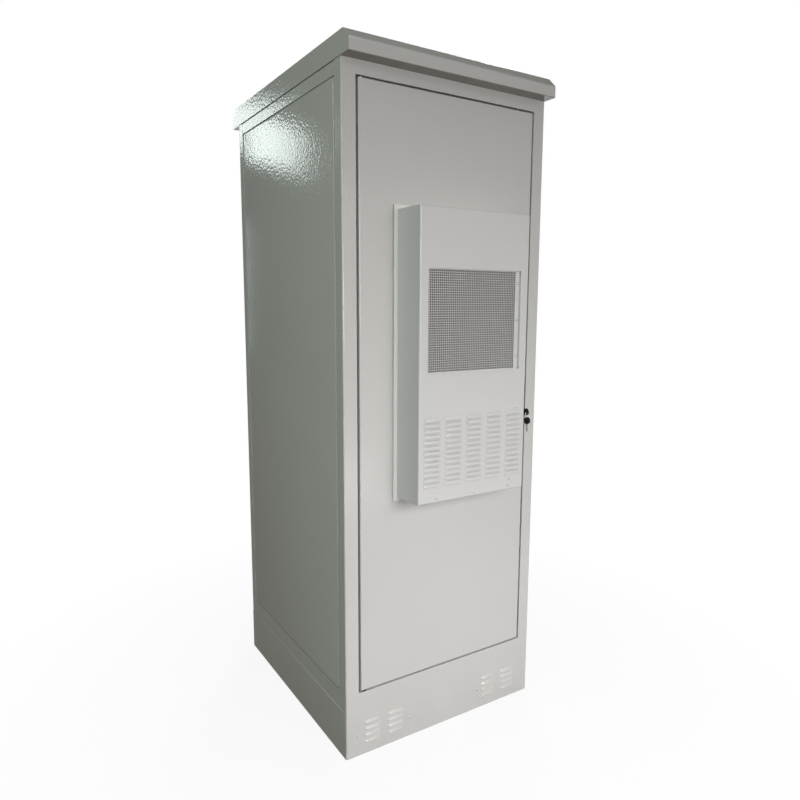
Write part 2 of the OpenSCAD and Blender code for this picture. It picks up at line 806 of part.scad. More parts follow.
// Cooling unit: seal, chassis pan with flange and shelf, cover with louvres
module unit_seal() {
  color(black) along_y(front_y - seal_t, front_y) difference() {
    rect(ac_x - ac_w / 2, ac_x + ac_w / 2, ac_z, ac_z + ac_h);
    rect(ac_x - ac_body_x - cut_play, ac_x + ac_body_x + cut_play,
         ac_body_z0 - cut_play, ac_body_z1 + cut_play);
  }
}
outlet_z = ac_body_z0 + 40;
outlet_w = ac_body_x - 30;
module unit_chassis() {
  t = ac_sheet;
  x0 = ac_x - ac_body_x;
  x1 = ac_x + ac_body_x;
  color(paint_light) difference() {
    union() {
      along_y(flange_y, flange_y + sheet)
        rect(ac_x - ac_w / 2 - flange_w, ac_x + ac_w / 2 + flange_w,
             ac_z - flange_w, ac_z + ac_h + flange_w);
      along_y(flange_y, ac_back) rect(x0, x1, ac_body_z0, ac_body_z1);
      along_y(ac_y + ac_sheet + filter_t + 6, flange_y + eps)
        rect(x0, x1, ac_body_z0 - sheet, ac_body_z0);
    }
    along_y(flange_y - eps, ac_back - t) rect(x0 + t, x1 - t, ac_body_z0 + t, ac_body_z1 - t);
    bar_y(ac_x, inner_fan_z, ac_back - 2 * t, ac_back + eps, inner_fan_r + 6);
    along_y(ac_back - 2 * t, ac_back + eps)
      for (i = [0 : 6])
        rect(ac_x - outlet_w, ac_x + outlet_w, outlet_z + i * 16, outlet_z + i * 16 + 9);
  }
}
module unit_cover() {
  x0 = ac_x - ac_w / 2;
  x1 = ac_x + ac_w / 2;
  gx0 = ac_x - grille_w / 2;
  gx1 = ac_x + grille_w / 2;
  color(paint_light) louvred(cover_places, ac_y, louvre_len, ac_sheet) difference() {
    union() {
      fold_pan(x0, x1, ac_y, flange_y, ac_z, ac_z + ac_h, ac_sheet, bend_r);
      along_y(ac_y + ac_sheet / 2, grille_y)
        ring_rect(gx0, gx1, grille_z, grille_z + grille_h, ac_sheet, 0);
    }
    along_y(ac_y - eps, grille_y + eps) rect(gx0, gx1, grille_z, grille_z + grille_h);
    for (p = cover_screw_places())
      bar_y(p[0], p[1], ac_y - eps, ac_y + 2 * ac_sheet, shank_r + run_fit);
  }
}
louvre_top = louvre_z + (louvre_rows - 1) * louvre_dz + louvre_h;
// Cover screws: distance from the cover's sides, and from its lower edge or the louvres
edge_screw = [59, 12];
low_screw = [55, 17];
high_screw = [36, 8];
function cover_screw_places() = [
  for (s = [-1, 0, 1]) [ac_x + s * (ac_w / 2 - edge_screw[0]), ac_z + edge_screw[1]],
  for (s = [-1, 1]) [ac_x + s * (ac_w / 2 - low_screw[0]), louvre_z - low_screw[1]],
  for (s = [-1, 1]) [ac_x + s * (ac_w / 2 - high_screw[0]), louvre_top + high_screw[1]]
];
module cover_screws() {
  color(zinc) for (p = cover_screw_places())
    screw(p[0], p[1], ac_y, ac_sheet + 3);
}

// Grille: its left edge tucks in behind the cover, its right edge is screwed
grille_screw_end = 35;
function grille_screw_places() = [
  for (k = [-1, 0, 1])
    [ac_x + grille_w / 2 - grille_strip / 2, grille_z + grille_h / 2 + k * (grille_h / 2 - grille_screw_end)]
];
module grille_plate() {
  x0 = ac_x - grille_w / 2 + grille_bar;
  x1 = ac_x + grille_w / 2 - grille_strip;
  step_x = (x1 - x0 + grille_bar) / grille_cols;
  step_z = (grille_h - grille_bar) / grille_rows;
  color(paint_light) along_y(grille_y, grille_y + grille_t) difference() {
    rect(ac_x - grille_w / 2 - grille_seat, ac_x + grille_w / 2 + grille_seat,
         grille_z - grille_seat, grille_z + grille_h + grille_seat);
    for (i = [0 : grille_cols - 1], j = [0 : grille_rows - 1])
      translate([x0 + i * step_x, grille_z + grille_bar + j * step_z])
        square([step_x - grille_bar, step_z - grille_bar]);
    for (p = grille_screw_places())
      translate(p) circle(shank_r + run_fit);
  }
}
module grille_screws() {
  color(zinc) for (p = grille_screw_places())
    screw(p[0], p[1], grille_y, grille_t + 4);
}

// Filter: a frame behind the louvres that holds a pleated pad
module air_filter() {
  y0 = ac_y + ac_sheet;
  x_half = ac_w / 2 - 14;
  z0 = louvre_z - 26;
  z1 = louvre_top + 22;
  rim = 20;
  pleat = 12;
  n = floor((2 * x_half - 2 * rim) / pleat);
  color(black) difference() {
    union() {
      along_y(y0 + louvre_skin, y0 + filter_t)
        ring_rect(ac_x - x_half, ac_x + x_half, z0, z1, 0, rim);
      along_y(y0, y0 + 2 * louvre_skin)
        ring_rect(ac_x - x_half, ac_x + x_half, z0, z1, 0, 12);
      along_z(z0 + 1, z1 - 1)
        for (i = [0 : n - 1])
          translate([ac_x - n * pleat / 2 + i * pleat, y0 + 3])
            polygon([[0, 0], [pleat / 2, 3], [pleat, 0], [pleat, 2], [pleat / 2, 5], [0, 2]]);
    }
    for (p = cover_screw_places())
      bar_y(p[0], p[1], y0 - eps, y0 + filter_t + eps, shank_r + run_fit);
  }
}

// Finned coil between two end plates, with tube passes through the fins
module coil(y0, y1, z0, z1, x_half, reach0, reach1, passes) {
  pitch = 12;
  n = floor((2 * x_half - 20) / pitch);
  for (s = [-1, 1])
    along_x(ac_x + s * x_half - (s + 1) / 2 * sheet, ac_x + s * x_half + (1 - s) / 2 * sheet)
      rect(reach0, reach1, z0, z1);
  for (i = [0 : n])
    along_x(ac_x + (i - n / 2) * pitch - 0.4, ac_x + (i - n / 2) * pitch + 0.4)
      rect(y0, y1, z0 + 4, z1 - 4);
  for (k = [0 : passes - 1])
    bar_x((y0 + y1) / 2, z0 + (k + 0.5) * (z1 - z0) / passes, ac_x - x_half, ac_x + x_half, 5);
}
coil_y0 = grille_y + 18;
coil_y1 = coil_y0 + 30;
module condenser_coil() {
  color(copper)
    coil(coil_y0, coil_y1, grille_z - 8, grille_z + grille_h + 8, coil_w, coil_y0 - 2, flange_y, 8);
}
evap_up = 170;
evap_h = 240;
module evaporator_coil() {
  z0 = ac_body_z0 + evap_up;
  color(copper)
    coil(wall_y + 8, ac_back - ac_sheet - 12, z0, z0 + evap_h,
         ac_body_x - ac_sheet, wall_y + sheet, ac_back - ac_sheet, 7);
}
module compressor() {
  r = 40;
  tall = 160;
  dome = 15;
  dome_r = (r * r + dome * dome) / (2 * dome);
  x = ac_x - 60;
  y = flange_y - r - 7;
  color(black) translate([x, y, ac_body_z0]) {
    cylinder(h = 6, r = r + 6);
    cylinder(h = tall - dome, r = r);
    translate([0, 0, tall - dome]) intersection() {
      cylinder(h = dome, r = r);
      translate([0, 0, dome - dome_r]) sphere(dome_r);
    }
    translate([r + 14, 0, 0]) cylinder(h = tall - 40, r = 15);
    translate([r - 4, -4, 40]) cube([10, 8, 60]);
  }
}
module unit_partition() {
  t = ac_sheet;
  color(zinc) along_y(wall_y, wall_y + sheet)
    rect(ac_x - ac_body_x + t, ac_x + ac_body_x - t, ac_body_z0 + t, ac_body_z1 - t);
}

// Axial fan: shroud plate with a round mouth, three struts and the motor with its shaft.
// The air mouth is at y = 0 and the motor stands on the +Y side.
fan_deep = 26;
fan_plate = 20;
motor_r = 34;
motor_len = 18;
fan_shaft_r = 4;
module fan_frame(r, x_half, z_half) {
  difference() {
    along_y(0, sheet) rect(-x_half, x_half, -z_half, z_half);
    bar_y(0, 0, -eps, sheet + eps, r + 4);
  }
  difference() {
    bar_y(0, 0, 0, fan_deep, r + 4 + sheet);
    bar_y(0, 0, -eps, fan_deep + eps, r + 4);
  }
  for (a = [90, 210, 330])
    rotate([0, a, 0]) along_x(motor_r - 4, r + 4 + sheet / 2) rect(fan_deep - 4, fan_deep + 3, -5, 5);
  bar_y(0, 0, fan_deep - 4, fan_deep - 4 + motor_len, motor_r);
  bar_y(0, 0, 4, fan_deep, fan_shaft_r);
}
module fan_rotor(r, blades) {
  hub_r = 30;
  difference() {
    union() {
      bar_y(0, 0, 4, fan_deep - 6, hub_r);
      intersection() {
        bar_y(0, 0, 2, fan_deep - 5, r);
        for (i = [0 : blades - 1])
          rotate([0, i * 360 / blades, 0]) translate([0, fan_deep / 2 - 1.5, 0])
            rotate([28, 0, 0]) translate([hub_r - 3, -1, -22]) cube([r, 2, 44]);
      }
    }
    bar_y(0, 0, 0, fan_deep, fan_shaft_r + run_fit);
  }
}
outer_fan_y = coil_y1 + 4;
inner_fan_y = ac_back - ac_sheet;
module outer_fan_frame() {
  color(black) translate([ac_x, outer_fan_y, outer_fan_z])
    fan_frame(outer_fan_r, coil_w - sheet, grille_h / 2 + 4);
}
module outer_fan_rotor() {
  color(black) translate([ac_x, outer_fan_y, outer_fan_z]) fan_rotor(outer_fan_r, 7);
}
module inner_fan_frame() {
  color(black) translate([ac_x, inner_fan_y, inner_fan_z]) mirror([0, 1, 0])
    fan_frame(inner_fan_r, inner_fan_r + fan_plate, inner_fan_r + fan_plate);
}
module inner_fan_rotor() {
  color(black) translate([ac_x, inner_fan_y, inner_fan_z]) mirror([0, 1, 0])
    fan_rotor(inner_fan_r, 7);
}

// Stamped guard over the inner fan: rings on a cross of bars
module fan_guard() {
  wire = 3;
  pitch = 14;
  rim = inner_fan_r + 10;
  color(zinc) translate([ac_x, 0, inner_fan_z]) along_y(ac_back, ac_back + wire) {
    for (r = [rim : -pitch : pitch]) difference() {
      circle(r);
      circle(r - wire);
    }
    for (a = [0, 90])
      rotate(a + 45) rect(-rim + wire / 2, rim - wire / 2, -wire / 2, wire / 2);
  }
}

// Handle base: an escutcheon on the door's face with the bearing of the spindle
module handle_base() {
  r = 12;
  color(black) difference() {
    intersection() {
      along_y(front_y - base_t, front_y)
        round_rect(lock_x - base_w / 2, lock_x + base_w / 2, lock_z - base_h / 2,
                   lock_z + base_h / 2, r);
      fold_block(lock_x - base_w / 2, lock_x + base_w / 2, front_y - base_t, front_y,
                 lock_z - base_h / 2, lock_z + base_h / 2, 2.5);
    }
    bar_y(lock_x, spindle_z, front_y - base_t - eps, front_y + eps, boss_r + run_fit);
  }
}

// Involute outline of the lock pinion
function involute(rb, t) = rb * [cos(t) + t * PI / 180 * sin(t), sin(t) - t * PI / 180 * cos(t)];
function turn(p, a) = [p[0] * cos(a) - p[1] * sin(a), p[0] * sin(a) + p[1] * cos(a)];
module pinion_outline() {
  rb = pitch_r * cos(pressure);
  ra = pitch_r + tooth_add;
  t_pitch = tan(pressure) * 180 / PI;
  t_end = sqrt(ra * ra / (rb * rb) - 1) * 180 / PI;
  flank = t_pitch - pressure;
  half = 90 / pinion_teeth + flank - backlash / 2 / pitch_r * 180 / PI;
  n = 5;
  side = [for (i = [0 : n]) turn(involute(rb, t_end * i / n), -half)];
  mirrored = [for (i = [n : -1 : 0]) [side[i][0], -side[i][1]]];
  root = turn([pitch_r - tooth_ded, 0], -half);
  circle(pitch_r - tooth_ded + 0.1);
  for (k = [0 : pinion_teeth - 1])
    rotate(k * 360 / pinion_teeth)
      polygon(concat([[0, 0], root], side, mirrored, [[root[0], -root[1]]]));
}

// Pinion spindle: pinion, shaft, boss and the fork that holds the lever
module pinion_spindle() {
  fork = tongue_w / 2 + 0.3;
  color(zinc) difference() {
    union() {
      along_y(rod_y, rod_y + rod_d) translate([lock_x, spindle_z]) pinion_outline();
      bar_y(lock_x, spindle_z, front_y - base_t - boss_out, door_in + case_d + 1, shaft_r);
      bar_y(lock_x, spindle_z, front_y - base_t - boss_out, front_y - 0.3, boss_r);
      for (s = [-1, 1])
        along_x(lock_x + s * (fork + cheek_t / 2) - cheek_t / 2,
                lock_x + s * (fork + cheek_t / 2) + cheek_t / 2) {
          translate([front_y - tilt_out, spindle_z]) circle(8.5);
          rect(front_y - tilt_out, front_y - base_t - 2, spindle_z - 8.5, spindle_z + 8.5);
        }
    }
    bar_x(front_y - tilt_out, spindle_z, lock_x - 30, lock_x + 30, tilt_r + run_fit / 2);
  }
}
module tilt_pin() {
  half = tongue_w / 2 + 0.3 + cheek_t;
  color(zinc) bar_x(front_y - tilt_out, spindle_z, lock_x - half, lock_x + half, tilt_r);
}

// Lever: rounded grip with a tongue in the fork and the bore of the lock plug
module lever() {
  half = lever_w / 2;
  z0 = plug_z - plug_r - 5;
  z1 = spindle_z;
  back = front_y - lever_out0;
  grip = front_y - lever_out1;
  heel_y = front_y - base_t - boss_out - 1;
  heel_z = spindle_z - boss_r - 1.5;
  color(black) difference() {
    union() {
      difference() {
        intersection() {
          along_y(grip - eps, back + eps) round_rect(lock_x - half, lock_x + half, z0, z1 + 10, 9);
          along_x(lock_x - half, lock_x + half)
            polygon([
              [back, z0], [back, heel_z], [heel_y, heel_z], [front_y - tilt_out, spindle_z - 10],
              [front_y - tilt_out - 9, spindle_z - 7], [grip, spindle_z - 54], [grip, z0]
            ]);
          fold_block(lock_x - half, lock_x + half, grip, back + eps, z0, z1 + 20, 4);
        }
        bar_x(front_y - tilt_out, spindle_z, lock_x - 30, lock_x + 30, 10.5);
      }
      along_x(lock_x - tongue_w / 2, lock_x + tongue_w / 2) {
        translate([front_y - tilt_out, spindle_z]) circle(8);
        rect(front_y - tilt_out - 7, front_y - tilt_out + 7, spindle_z - 16, spindle_z);
      }
    }
    bar_x(front_y - tilt_out, spindle_z, lock_x - 30, lock_x + 30, tilt_r + run_fit);
    bar_y(lock_x, plug_z, grip - eps, back + eps, plug_r + run_fit);
  }
}

// Lock plug with its keyway
key_slot = 3;
key_tall = 9;
module lock_plug() {
  color(zinc) difference() {
    bar_y(lock_x, plug_z, front_y - lever_out1 - 1, front_y - lever_out0 - 3, plug_r);
    along_y(front_y - lever_out1 - 2, front_y - lever_out0 - 6)
      rect(lock_x - key_slot / 2, lock_x + key_slot / 2,
           plug_z - key_tall / 2 - 0.3, plug_z + key_tall / 2 + 0.3);
  }
}

// Key in its own place: head at the origin in the (y, z) plane, blade along +Y, eye towards -Y
key_eye = 7;
key_eye_r = 3;
module key_shape(blade) {
  color(black) difference() {
    intersection() {
      bar_x(0, 0, -3.5, 3.5, key_head_r);
      along_z(-key_head_r, key_head_r) round_rect(-3.5, 3.5, -key_head_r - 1, key_head_r + 1, 2);
    }
    bar_x(-key_eye, 0, -5, 5, key_eye_r);
    along_x(-1.1, 1.1) rect(4, key_head_r + eps, -4, 4);
  }
  color(zinc) along_x(-1.1, 1.1) {
    rect(4, key_head_r + blade, -4, 2);
    for (i = [0 : 3])
      rect(key_head_r + 4 + i * 4, key_head_r + 6 + i * 4, 1, 4 - (i % 2));
    rect(4, key_head_r + 2, -4, 4);
  }
}
module key() {
  blade = front_y - lever_out0 - 7 - key_head_y - key_head_r;
  translate([lock_x, key_head_y, plug_z]) key_shape(blade);
}

// Split ring through the key's eye, and the spare key that hangs on it
ring_y = key_head_y - key_eye;
ring_z = plug_z - key_eye_r + ring_wire + ring_drop - ring_r;
module key_ring() {
  color(zinc) translate([lock_x, ring_y, ring_z]) rotate([90, 0, 0])
    rotate_extrude() translate([ring_r, 0]) circle(ring_wire);
}
module spare_key() {
  eye_z = ring_z - ring_r + ring_wire + ring_drop - key_eye_r;
  translate([lock_x, ring_y, eye_z - key_eye]) rotate([-90, 0, 0]) key_shape(24);
}

// Lock case: a channel over the pinion, open above and below for the rods
module lock_case() {
  half = rod_x + rod_w + clear / 2 + case_wall;
  z0 = spindle_z - 54;
  z1 = spindle_z + 54;
  y1 = door_in + case_d;
  color(zinc) difference() {
    along_z(z0, z1) difference() {
      rect(lock_x - half, lock_x + half, door_in, y1);
      rect(lock_x - half + case_wall, lock_x + half - case_wall, door_in - eps, y1 - case_wall);
    }
    bar_y(lock_x, spindle_z, door_in, y1 + eps, shaft_r + run_fit);
  }
}

// Lock rod: a flat bar with a rack; drawn to the +X side of the pinion, from z0 to z1
module rod(z0, z1) {
  pitch = PI * tooth_m;
  n = floor(rod_end / pitch) - 1;
  tip = pitch / 4 - tooth_add * tan(pressure) - backlash / 4;
  foot = pitch / 4 + tooth_ded * tan(pressure) - backlash / 4;
  rack = [
    for (k = [-n : n - 1], p = [[rod_x, -foot], [pitch_r - tooth_add, -tip],
                                [pitch_r - tooth_add, tip], [rod_x, foot]])
      [p[0], p[1] + (k + 0.5) * pitch]
  ];
  along_y(rod_y, rod_y + rod_d)
    polygon(concat([[rod_x + rod_w, z1], [rod_x + rod_w, z0], [rod_x, z0]], rack, [[rod_x, z1]]));
}
// Place of a rod's end as (x, y), grown by play
module rod_end_outline(side, play) {
  translate([lock_x, 0]) mirror([side, 0])
    rect(rod_x - play, rod_x + rod_w + play, rod_y - play, rod_y + rod_d + play);
}
rod_end = 34;
module lower_rod() {
  color(zinc) translate([lock_x, 0, spindle_z]) rod(rod_bottom - spindle_z, rod_end);
}
module upper_rod() {
  color(zinc) translate([lock_x, 0, spindle_z]) mirror([1, 0, 0])
    rod(-rod_end, rod_top - spindle_z);
}

// Guides: small saddles welded to the door that keep the rods straight
module rod_guide(side, z) {
  tall = 14;
  wall = 2.5;
  edge = rod_play + wall;
  difference() {
    translate([lock_x, 0, z - tall / 2]) mirror([side, 0, 0])
      along_z(0, tall) rect(rod_x - edge, rod_x + rod_w + edge, door_in, rod_y + rod_d + edge);
    along_z(z - tall, z + tall) rod_end_outline(side, rod_play);
  }
}
module rod_guides() {
  from_end = 60;
  color(zinc) {
    for (z = [(spindle_z + rod_top) / 2, rod_top - from_end])
      rod_guide(1, z);
    for (z = [(spindle_z + rod_bottom) / 2, rod_bottom + from_end])
      rod_guide(0, z);
  }
}

plinth();
front_frame();
rear_frame();
upper_side_rails();
lower_side_rails();
side_panel_left();
side_panel_right();
back_panel();
top_plate();
bottom_plate();
roof_hood();
roof_bolts();
apron_screws();
gland_plate();
cable_glands();
depth_rails();
rack_rail_front_left();
rack_rail_front_right();
rack_rail_rear_left();
rack_rail_rear_right();
rail_bolts();
earth_bar();
earth_studs();
hinge_bushes();
door_pan();
door_stiffeners();
door_gasket();
hinge_brackets();
hinge_pins();
handle_base();
lock_case();
rod_guides();
unit_seal();
unit_chassis();
unit_cover();
grille_plate();
grille_screws();
cover_screws();
air_filter();
condenser_coil();
evaporator_coil();
compressor();
unit_partition();
outer_fan_frame();
inner_fan_frame();
fan_guard();
outer_fan_rotor();
inner_fan_rotor();
pinion_spindle();
tilt_pin();
lever();
lock_plug();
key();
key_ring();
spare_key();
upper_rod();
lower_rod();
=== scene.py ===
# %% [markdown]
# # A roadside utility cabinet, dressed for its picture
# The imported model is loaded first. It is the fixed frame of this lesson: every sheet-metal part
# sits where the drawing puts it, and all that follows either gives those parts a finish or adds
# a finer piece in the place of a plain one. All lengths are in metres.

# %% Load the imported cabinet
import json
import math
import bmesh
import bpy
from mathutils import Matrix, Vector


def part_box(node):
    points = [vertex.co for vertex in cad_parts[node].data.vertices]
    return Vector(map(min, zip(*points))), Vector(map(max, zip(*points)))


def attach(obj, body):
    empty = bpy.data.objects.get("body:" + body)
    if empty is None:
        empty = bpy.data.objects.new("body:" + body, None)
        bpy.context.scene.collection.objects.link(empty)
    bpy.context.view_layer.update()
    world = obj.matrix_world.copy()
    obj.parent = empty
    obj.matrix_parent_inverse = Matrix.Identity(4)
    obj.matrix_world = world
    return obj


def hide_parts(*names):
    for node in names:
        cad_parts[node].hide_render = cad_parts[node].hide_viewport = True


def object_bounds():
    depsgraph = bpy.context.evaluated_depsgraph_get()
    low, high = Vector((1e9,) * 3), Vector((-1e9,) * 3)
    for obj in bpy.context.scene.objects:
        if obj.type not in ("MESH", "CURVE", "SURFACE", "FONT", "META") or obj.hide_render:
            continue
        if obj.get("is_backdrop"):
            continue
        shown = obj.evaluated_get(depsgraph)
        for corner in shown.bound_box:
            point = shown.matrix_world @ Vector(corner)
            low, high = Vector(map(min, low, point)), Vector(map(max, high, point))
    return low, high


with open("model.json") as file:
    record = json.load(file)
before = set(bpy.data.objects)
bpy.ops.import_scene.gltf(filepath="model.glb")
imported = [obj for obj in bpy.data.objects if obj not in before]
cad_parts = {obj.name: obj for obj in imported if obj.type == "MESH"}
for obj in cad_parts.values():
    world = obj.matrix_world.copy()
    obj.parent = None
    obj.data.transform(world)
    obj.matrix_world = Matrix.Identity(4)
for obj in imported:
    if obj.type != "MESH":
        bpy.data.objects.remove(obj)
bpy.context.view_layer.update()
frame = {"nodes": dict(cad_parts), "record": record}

nodes = frame["nodes"]

# %% [markdown]
# ## Small tools for the hand work
# Blender's operators act on whatever is selected, and loading leaves every node selected. So each
# piece starts by clearing the selection. The helpers below wrap the few moves that every piece
# needs: start, go into edit mode, pick faces, edges or corners by where they are, and settle the piece
# with its place stored in its mesh, which keeps patterns on Object coordinates still.

# %% Selection and edit-mode helpers
MM = 0.001


def clear_selection():
    if bpy.context.mode != "OBJECT":
        bpy.ops.object.mode_set(mode="OBJECT")
    bpy.ops.object.select_all(action="DESELECT")


def take(obj):
    clear_selection()
    obj.select_set(True)
    bpy.context.view_layer.objects.active = obj
    return obj


def enter_edit(obj, kind="FACE"):
    take(obj)
    bpy.ops.object.mode_set(mode="EDIT")
    bpy.ops.mesh.select_mode(type=kind)
    bpy.ops.mesh.select_all(action="DESELECT")


def pick_faces(obj, test):
    """Selects the faces whose centre and normal pass the test, and says how many."""
    work = bmesh.from_edit_mesh(obj.data)
    for face in work.faces:
        face.select_set(bool(test(face.calc_center_median(), face.normal)))
    bmesh.update_edit_mesh(obj.data)
    return sum(face.select for face in work.faces)


def pick_edges(obj, test):
    """Selects the edges whose two end points pass the test, and says how many."""
    work = bmesh.from_edit_mesh(obj.data)
    for edge in work.edges:
        edge.select_set(bool(test(edge.verts[0].co, edge.verts[1].co)))
    bmesh.update_edit_mesh(obj.data)
    return sum(edge.select for edge in work.edges)


def pick_points(obj, test):
    """Selects the corners whose place passes the test, and says how many."""
    work = bmesh.from_edit_mesh(obj.data)
    for point in work.verts:
        point.select_set(bool(test(point.co)))
    work.select_flush_mode()
    bmesh.update_edit_mesh(obj.data)
    return sum(point.select for point in work.verts)


def settle(obj, smooth_below=None):
    """Back to object mode, with the place and turn of the object moved into its mesh."""
    take(obj)
    bpy.ops.object.transform_apply(location=True, rotation=True, scale=True)
    if smooth_below is not None:
        bpy.ops.object.shade_smooth_by_angle(angle=math.radians(smooth_below))
    return obj


def use_modifier(obj, kind, **settings):
    """Adds a modifier with these settings and applies it at once."""
    take(obj)
    modifier = obj.modifiers.new(kind.lower(), kind)
    for key, value in settings.items():
        setattr(modifier, key, value)
    bpy.ops.object.modifier_apply(modifier=modifier.name)


def outward(obj):
    """Merges doubled corners and turns every face outwards."""
    enter_edit(obj)
    bpy.ops.mesh.select_all(action="SELECT")
    bpy.ops.mesh.remove_doubles(threshold=1e-6)
    bpy.ops.mesh.normals_make_consistent(inside=False)
    bpy.ops.object.mode_set(mode="OBJECT")


def copy_piece(obj, name, place):
    """A copy with its own mesh, moved to a place."""
    take(obj)
    bpy.ops.object.duplicate(linked=False)
    twin = bpy.context.view_layer.objects.active
    twin.name = name
    twin.location = Vector(place)
    return settle(twin)


def join_pieces(parts, name):
    """Joins several pieces into one mesh."""
    clear_selection()
    for part in parts:
        part.select_set(True)
    bpy.context.view_layer.objects.active = parts[0]
    bpy.ops.object.join()
    whole = bpy.context.view_layer.objects.active
    whole.name = name
    whole.data.name = name
    return whole


def block(name, low, high):
    """A box between two corners, added as a cube at its size and place."""
    clear_selection()
    low, high = Vector(low), Vector(high)
    bpy.ops.mesh.primitive_cube_add(size=1, location=(low + high) / 2)
    obj = bpy.context.object
    obj.name = name
    obj.scale = high - low
    return settle(obj)


def dress(piece, body, material, stands_for=()):
    """Gives a new piece its body and its finish, and hides the nodes that it stands for."""
    piece.data.materials.clear()
    piece.data.materials.append(material)
    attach(piece, body)
    if stands_for:
        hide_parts(*stands_for)
    print(piece.name, "rides on", body, "with", len(piece.data.polygons), "faces")


print("tools ready")

# %% [markdown]
# ## Effects that several finishes share
# A finish is more than a colour. Powder coat has a fine orange-peel skin, its tone drifts a little
# over a large panel, and dust settles near the ground. Bare metal shows spangle or brush marks.
# Each effect is a node group, made once, so that every finish can use it with its own values.
# The groups read Object coordinates, which stay with the piece when it moves.

# %% A helper that makes an empty node group
SOCKETS = {"value": "NodeSocketFloat", "colour": "NodeSocketColor"}


def new_group(name, takes, gives):
    """An empty shader group: takes is [(name, kind, start value)], gives is [(name, kind)]."""
    tree = bpy.data.node_groups.new(name, "ShaderNodeTree")
    for label, kind, start in takes:
        socket = tree.interface.new_socket(label, in_out="INPUT", socket_type=SOCKETS[kind])
        socket.default_value = start
    for label, kind in gives:
        tree.interface.new_socket(label, in_out="OUTPUT", socket_type=SOCKETS[kind])
    entry = tree.nodes.new("NodeGroupInput")
    leave = tree.nodes.new("NodeGroupOutput")
    return tree, entry.outputs, leave.inputs


def add_node(tree, kind, **settings):
    node = tree.nodes.new("ShaderNode" + kind)
    for key, value in settings.items():
        setattr(node, key, value)
    return node


def maths(tree, operation, first, second, third=None):
    """One maths node; an argument is a socket or a plain number."""
    node = add_node(tree, "Math", operation=operation)
    for slot, value in zip(node.inputs, (first, second, third)):
        if isinstance(value, bpy.types.NodeSocket):
            tree.links.new(value, slot)
        elif value is not None:
            slot.default_value = value
    return node.outputs[0]


def spread(tree, value, from_low, from_high, to_low, to_high):
    """Maps a range of values to another and clamps it."""
    node = add_node(tree, "MapRange")
    tree.links.new(value, node.inputs["Value"])
    for label, number in zip(("From Min", "From Max", "To Min", "To Max"),
                             (from_low, from_high, to_low, to_high)):
        if isinstance(number, bpy.types.NodeSocket):
            tree.links.new(number, node.inputs[label])
        else:
            node.inputs[label].default_value = number
    return node.outputs["Result"]


def noise(tree, place, scale, detail=2.0, roughness=0.5):
    """A noise texture on a place; scale is a socket or a number of cells to a metre."""
    node = add_node(tree, "TexNoise")
    tree.links.new(place, node.inputs["Vector"])
    if isinstance(scale, bpy.types.NodeSocket):
        tree.links.new(scale, node.inputs["Scale"])
    else:
        node.inputs["Scale"].default_value = scale
    node.inputs["Detail"].default_value = detail
    node.inputs["Roughness"].default_value = roughness
    return node.outputs["Fac"]


print("group helpers ready")

# %% [markdown]
# The orange-peel skin of powder coat is a field of small domes, each a few millimetres across. Every
# dome mirrors a lamp as one bright grain. Voronoi cells give such domes: the height falls with the
# square of the distance from the middle of a cell. A coarse noise makes some spots rougher.

# %% Orange-peel skin
def make_peel_group():
    tree, takes, gives = new_group(
        "peel_skin", [("Cells per metre", "value", 120.0)], [("Height", "value")])
    place = add_node(tree, "TexCoord").outputs["Object"]
    cells = add_node(tree, "TexVoronoi")
    tree.links.new(place, cells.inputs["Vector"])
    tree.links.new(takes["Cells per metre"], cells.inputs["Scale"])
    dome = maths(tree, "POWER", cells.outputs["Distance"], 2.0)
    coarse = noise(tree, place, maths(tree, "MULTIPLY", takes["Cells per metre"], 0.35), 1.0, 0.5)
    height = maths(tree, "SUBTRACT", maths(tree, "MULTIPLY", coarse, 0.6), dome)
    tree.links.new(height, gives["Height"])
    return tree


peel_skin = make_peel_group()
print("made", peel_skin.name)

# %% [markdown]
# Over a large panel the tone drifts by a few percent, and close to the ground a thin film of dust
# makes the paint warmer and duller. Height above the ground is the Z of Object coordinates, broken
# up by noise so that the film has no straight upper edge.

# %% Tone drift and ground dust
def make_tone_group():
    tree, takes, gives = new_group(
        "tone_drift",
        [("Colour", "colour", (0.8, 0.8, 0.8, 1)), ("Amount", "value", 0.03), ("Size", "value", 3.0)],
        [("Colour", "colour"), ("Patch", "value")])
    place = add_node(tree, "TexCoord").outputs["Object"]
    patch = noise(tree, place, takes["Size"], 4.0, 0.55)
    level = maths(tree, "MULTIPLY_ADD", maths(tree, "SUBTRACT", patch, 0.5), takes["Amount"], 0.5)
    level = maths(tree, "MULTIPLY", level, 2.0)
    shade = add_node(tree, "HueSaturation")
    tree.links.new(takes["Colour"], shade.inputs["Color"])
    tree.links.new(level, shade.inputs["Value"])
    tree.links.new(shade.outputs["Color"], gives["Colour"])
    tree.links.new(patch, gives["Patch"])
    return tree


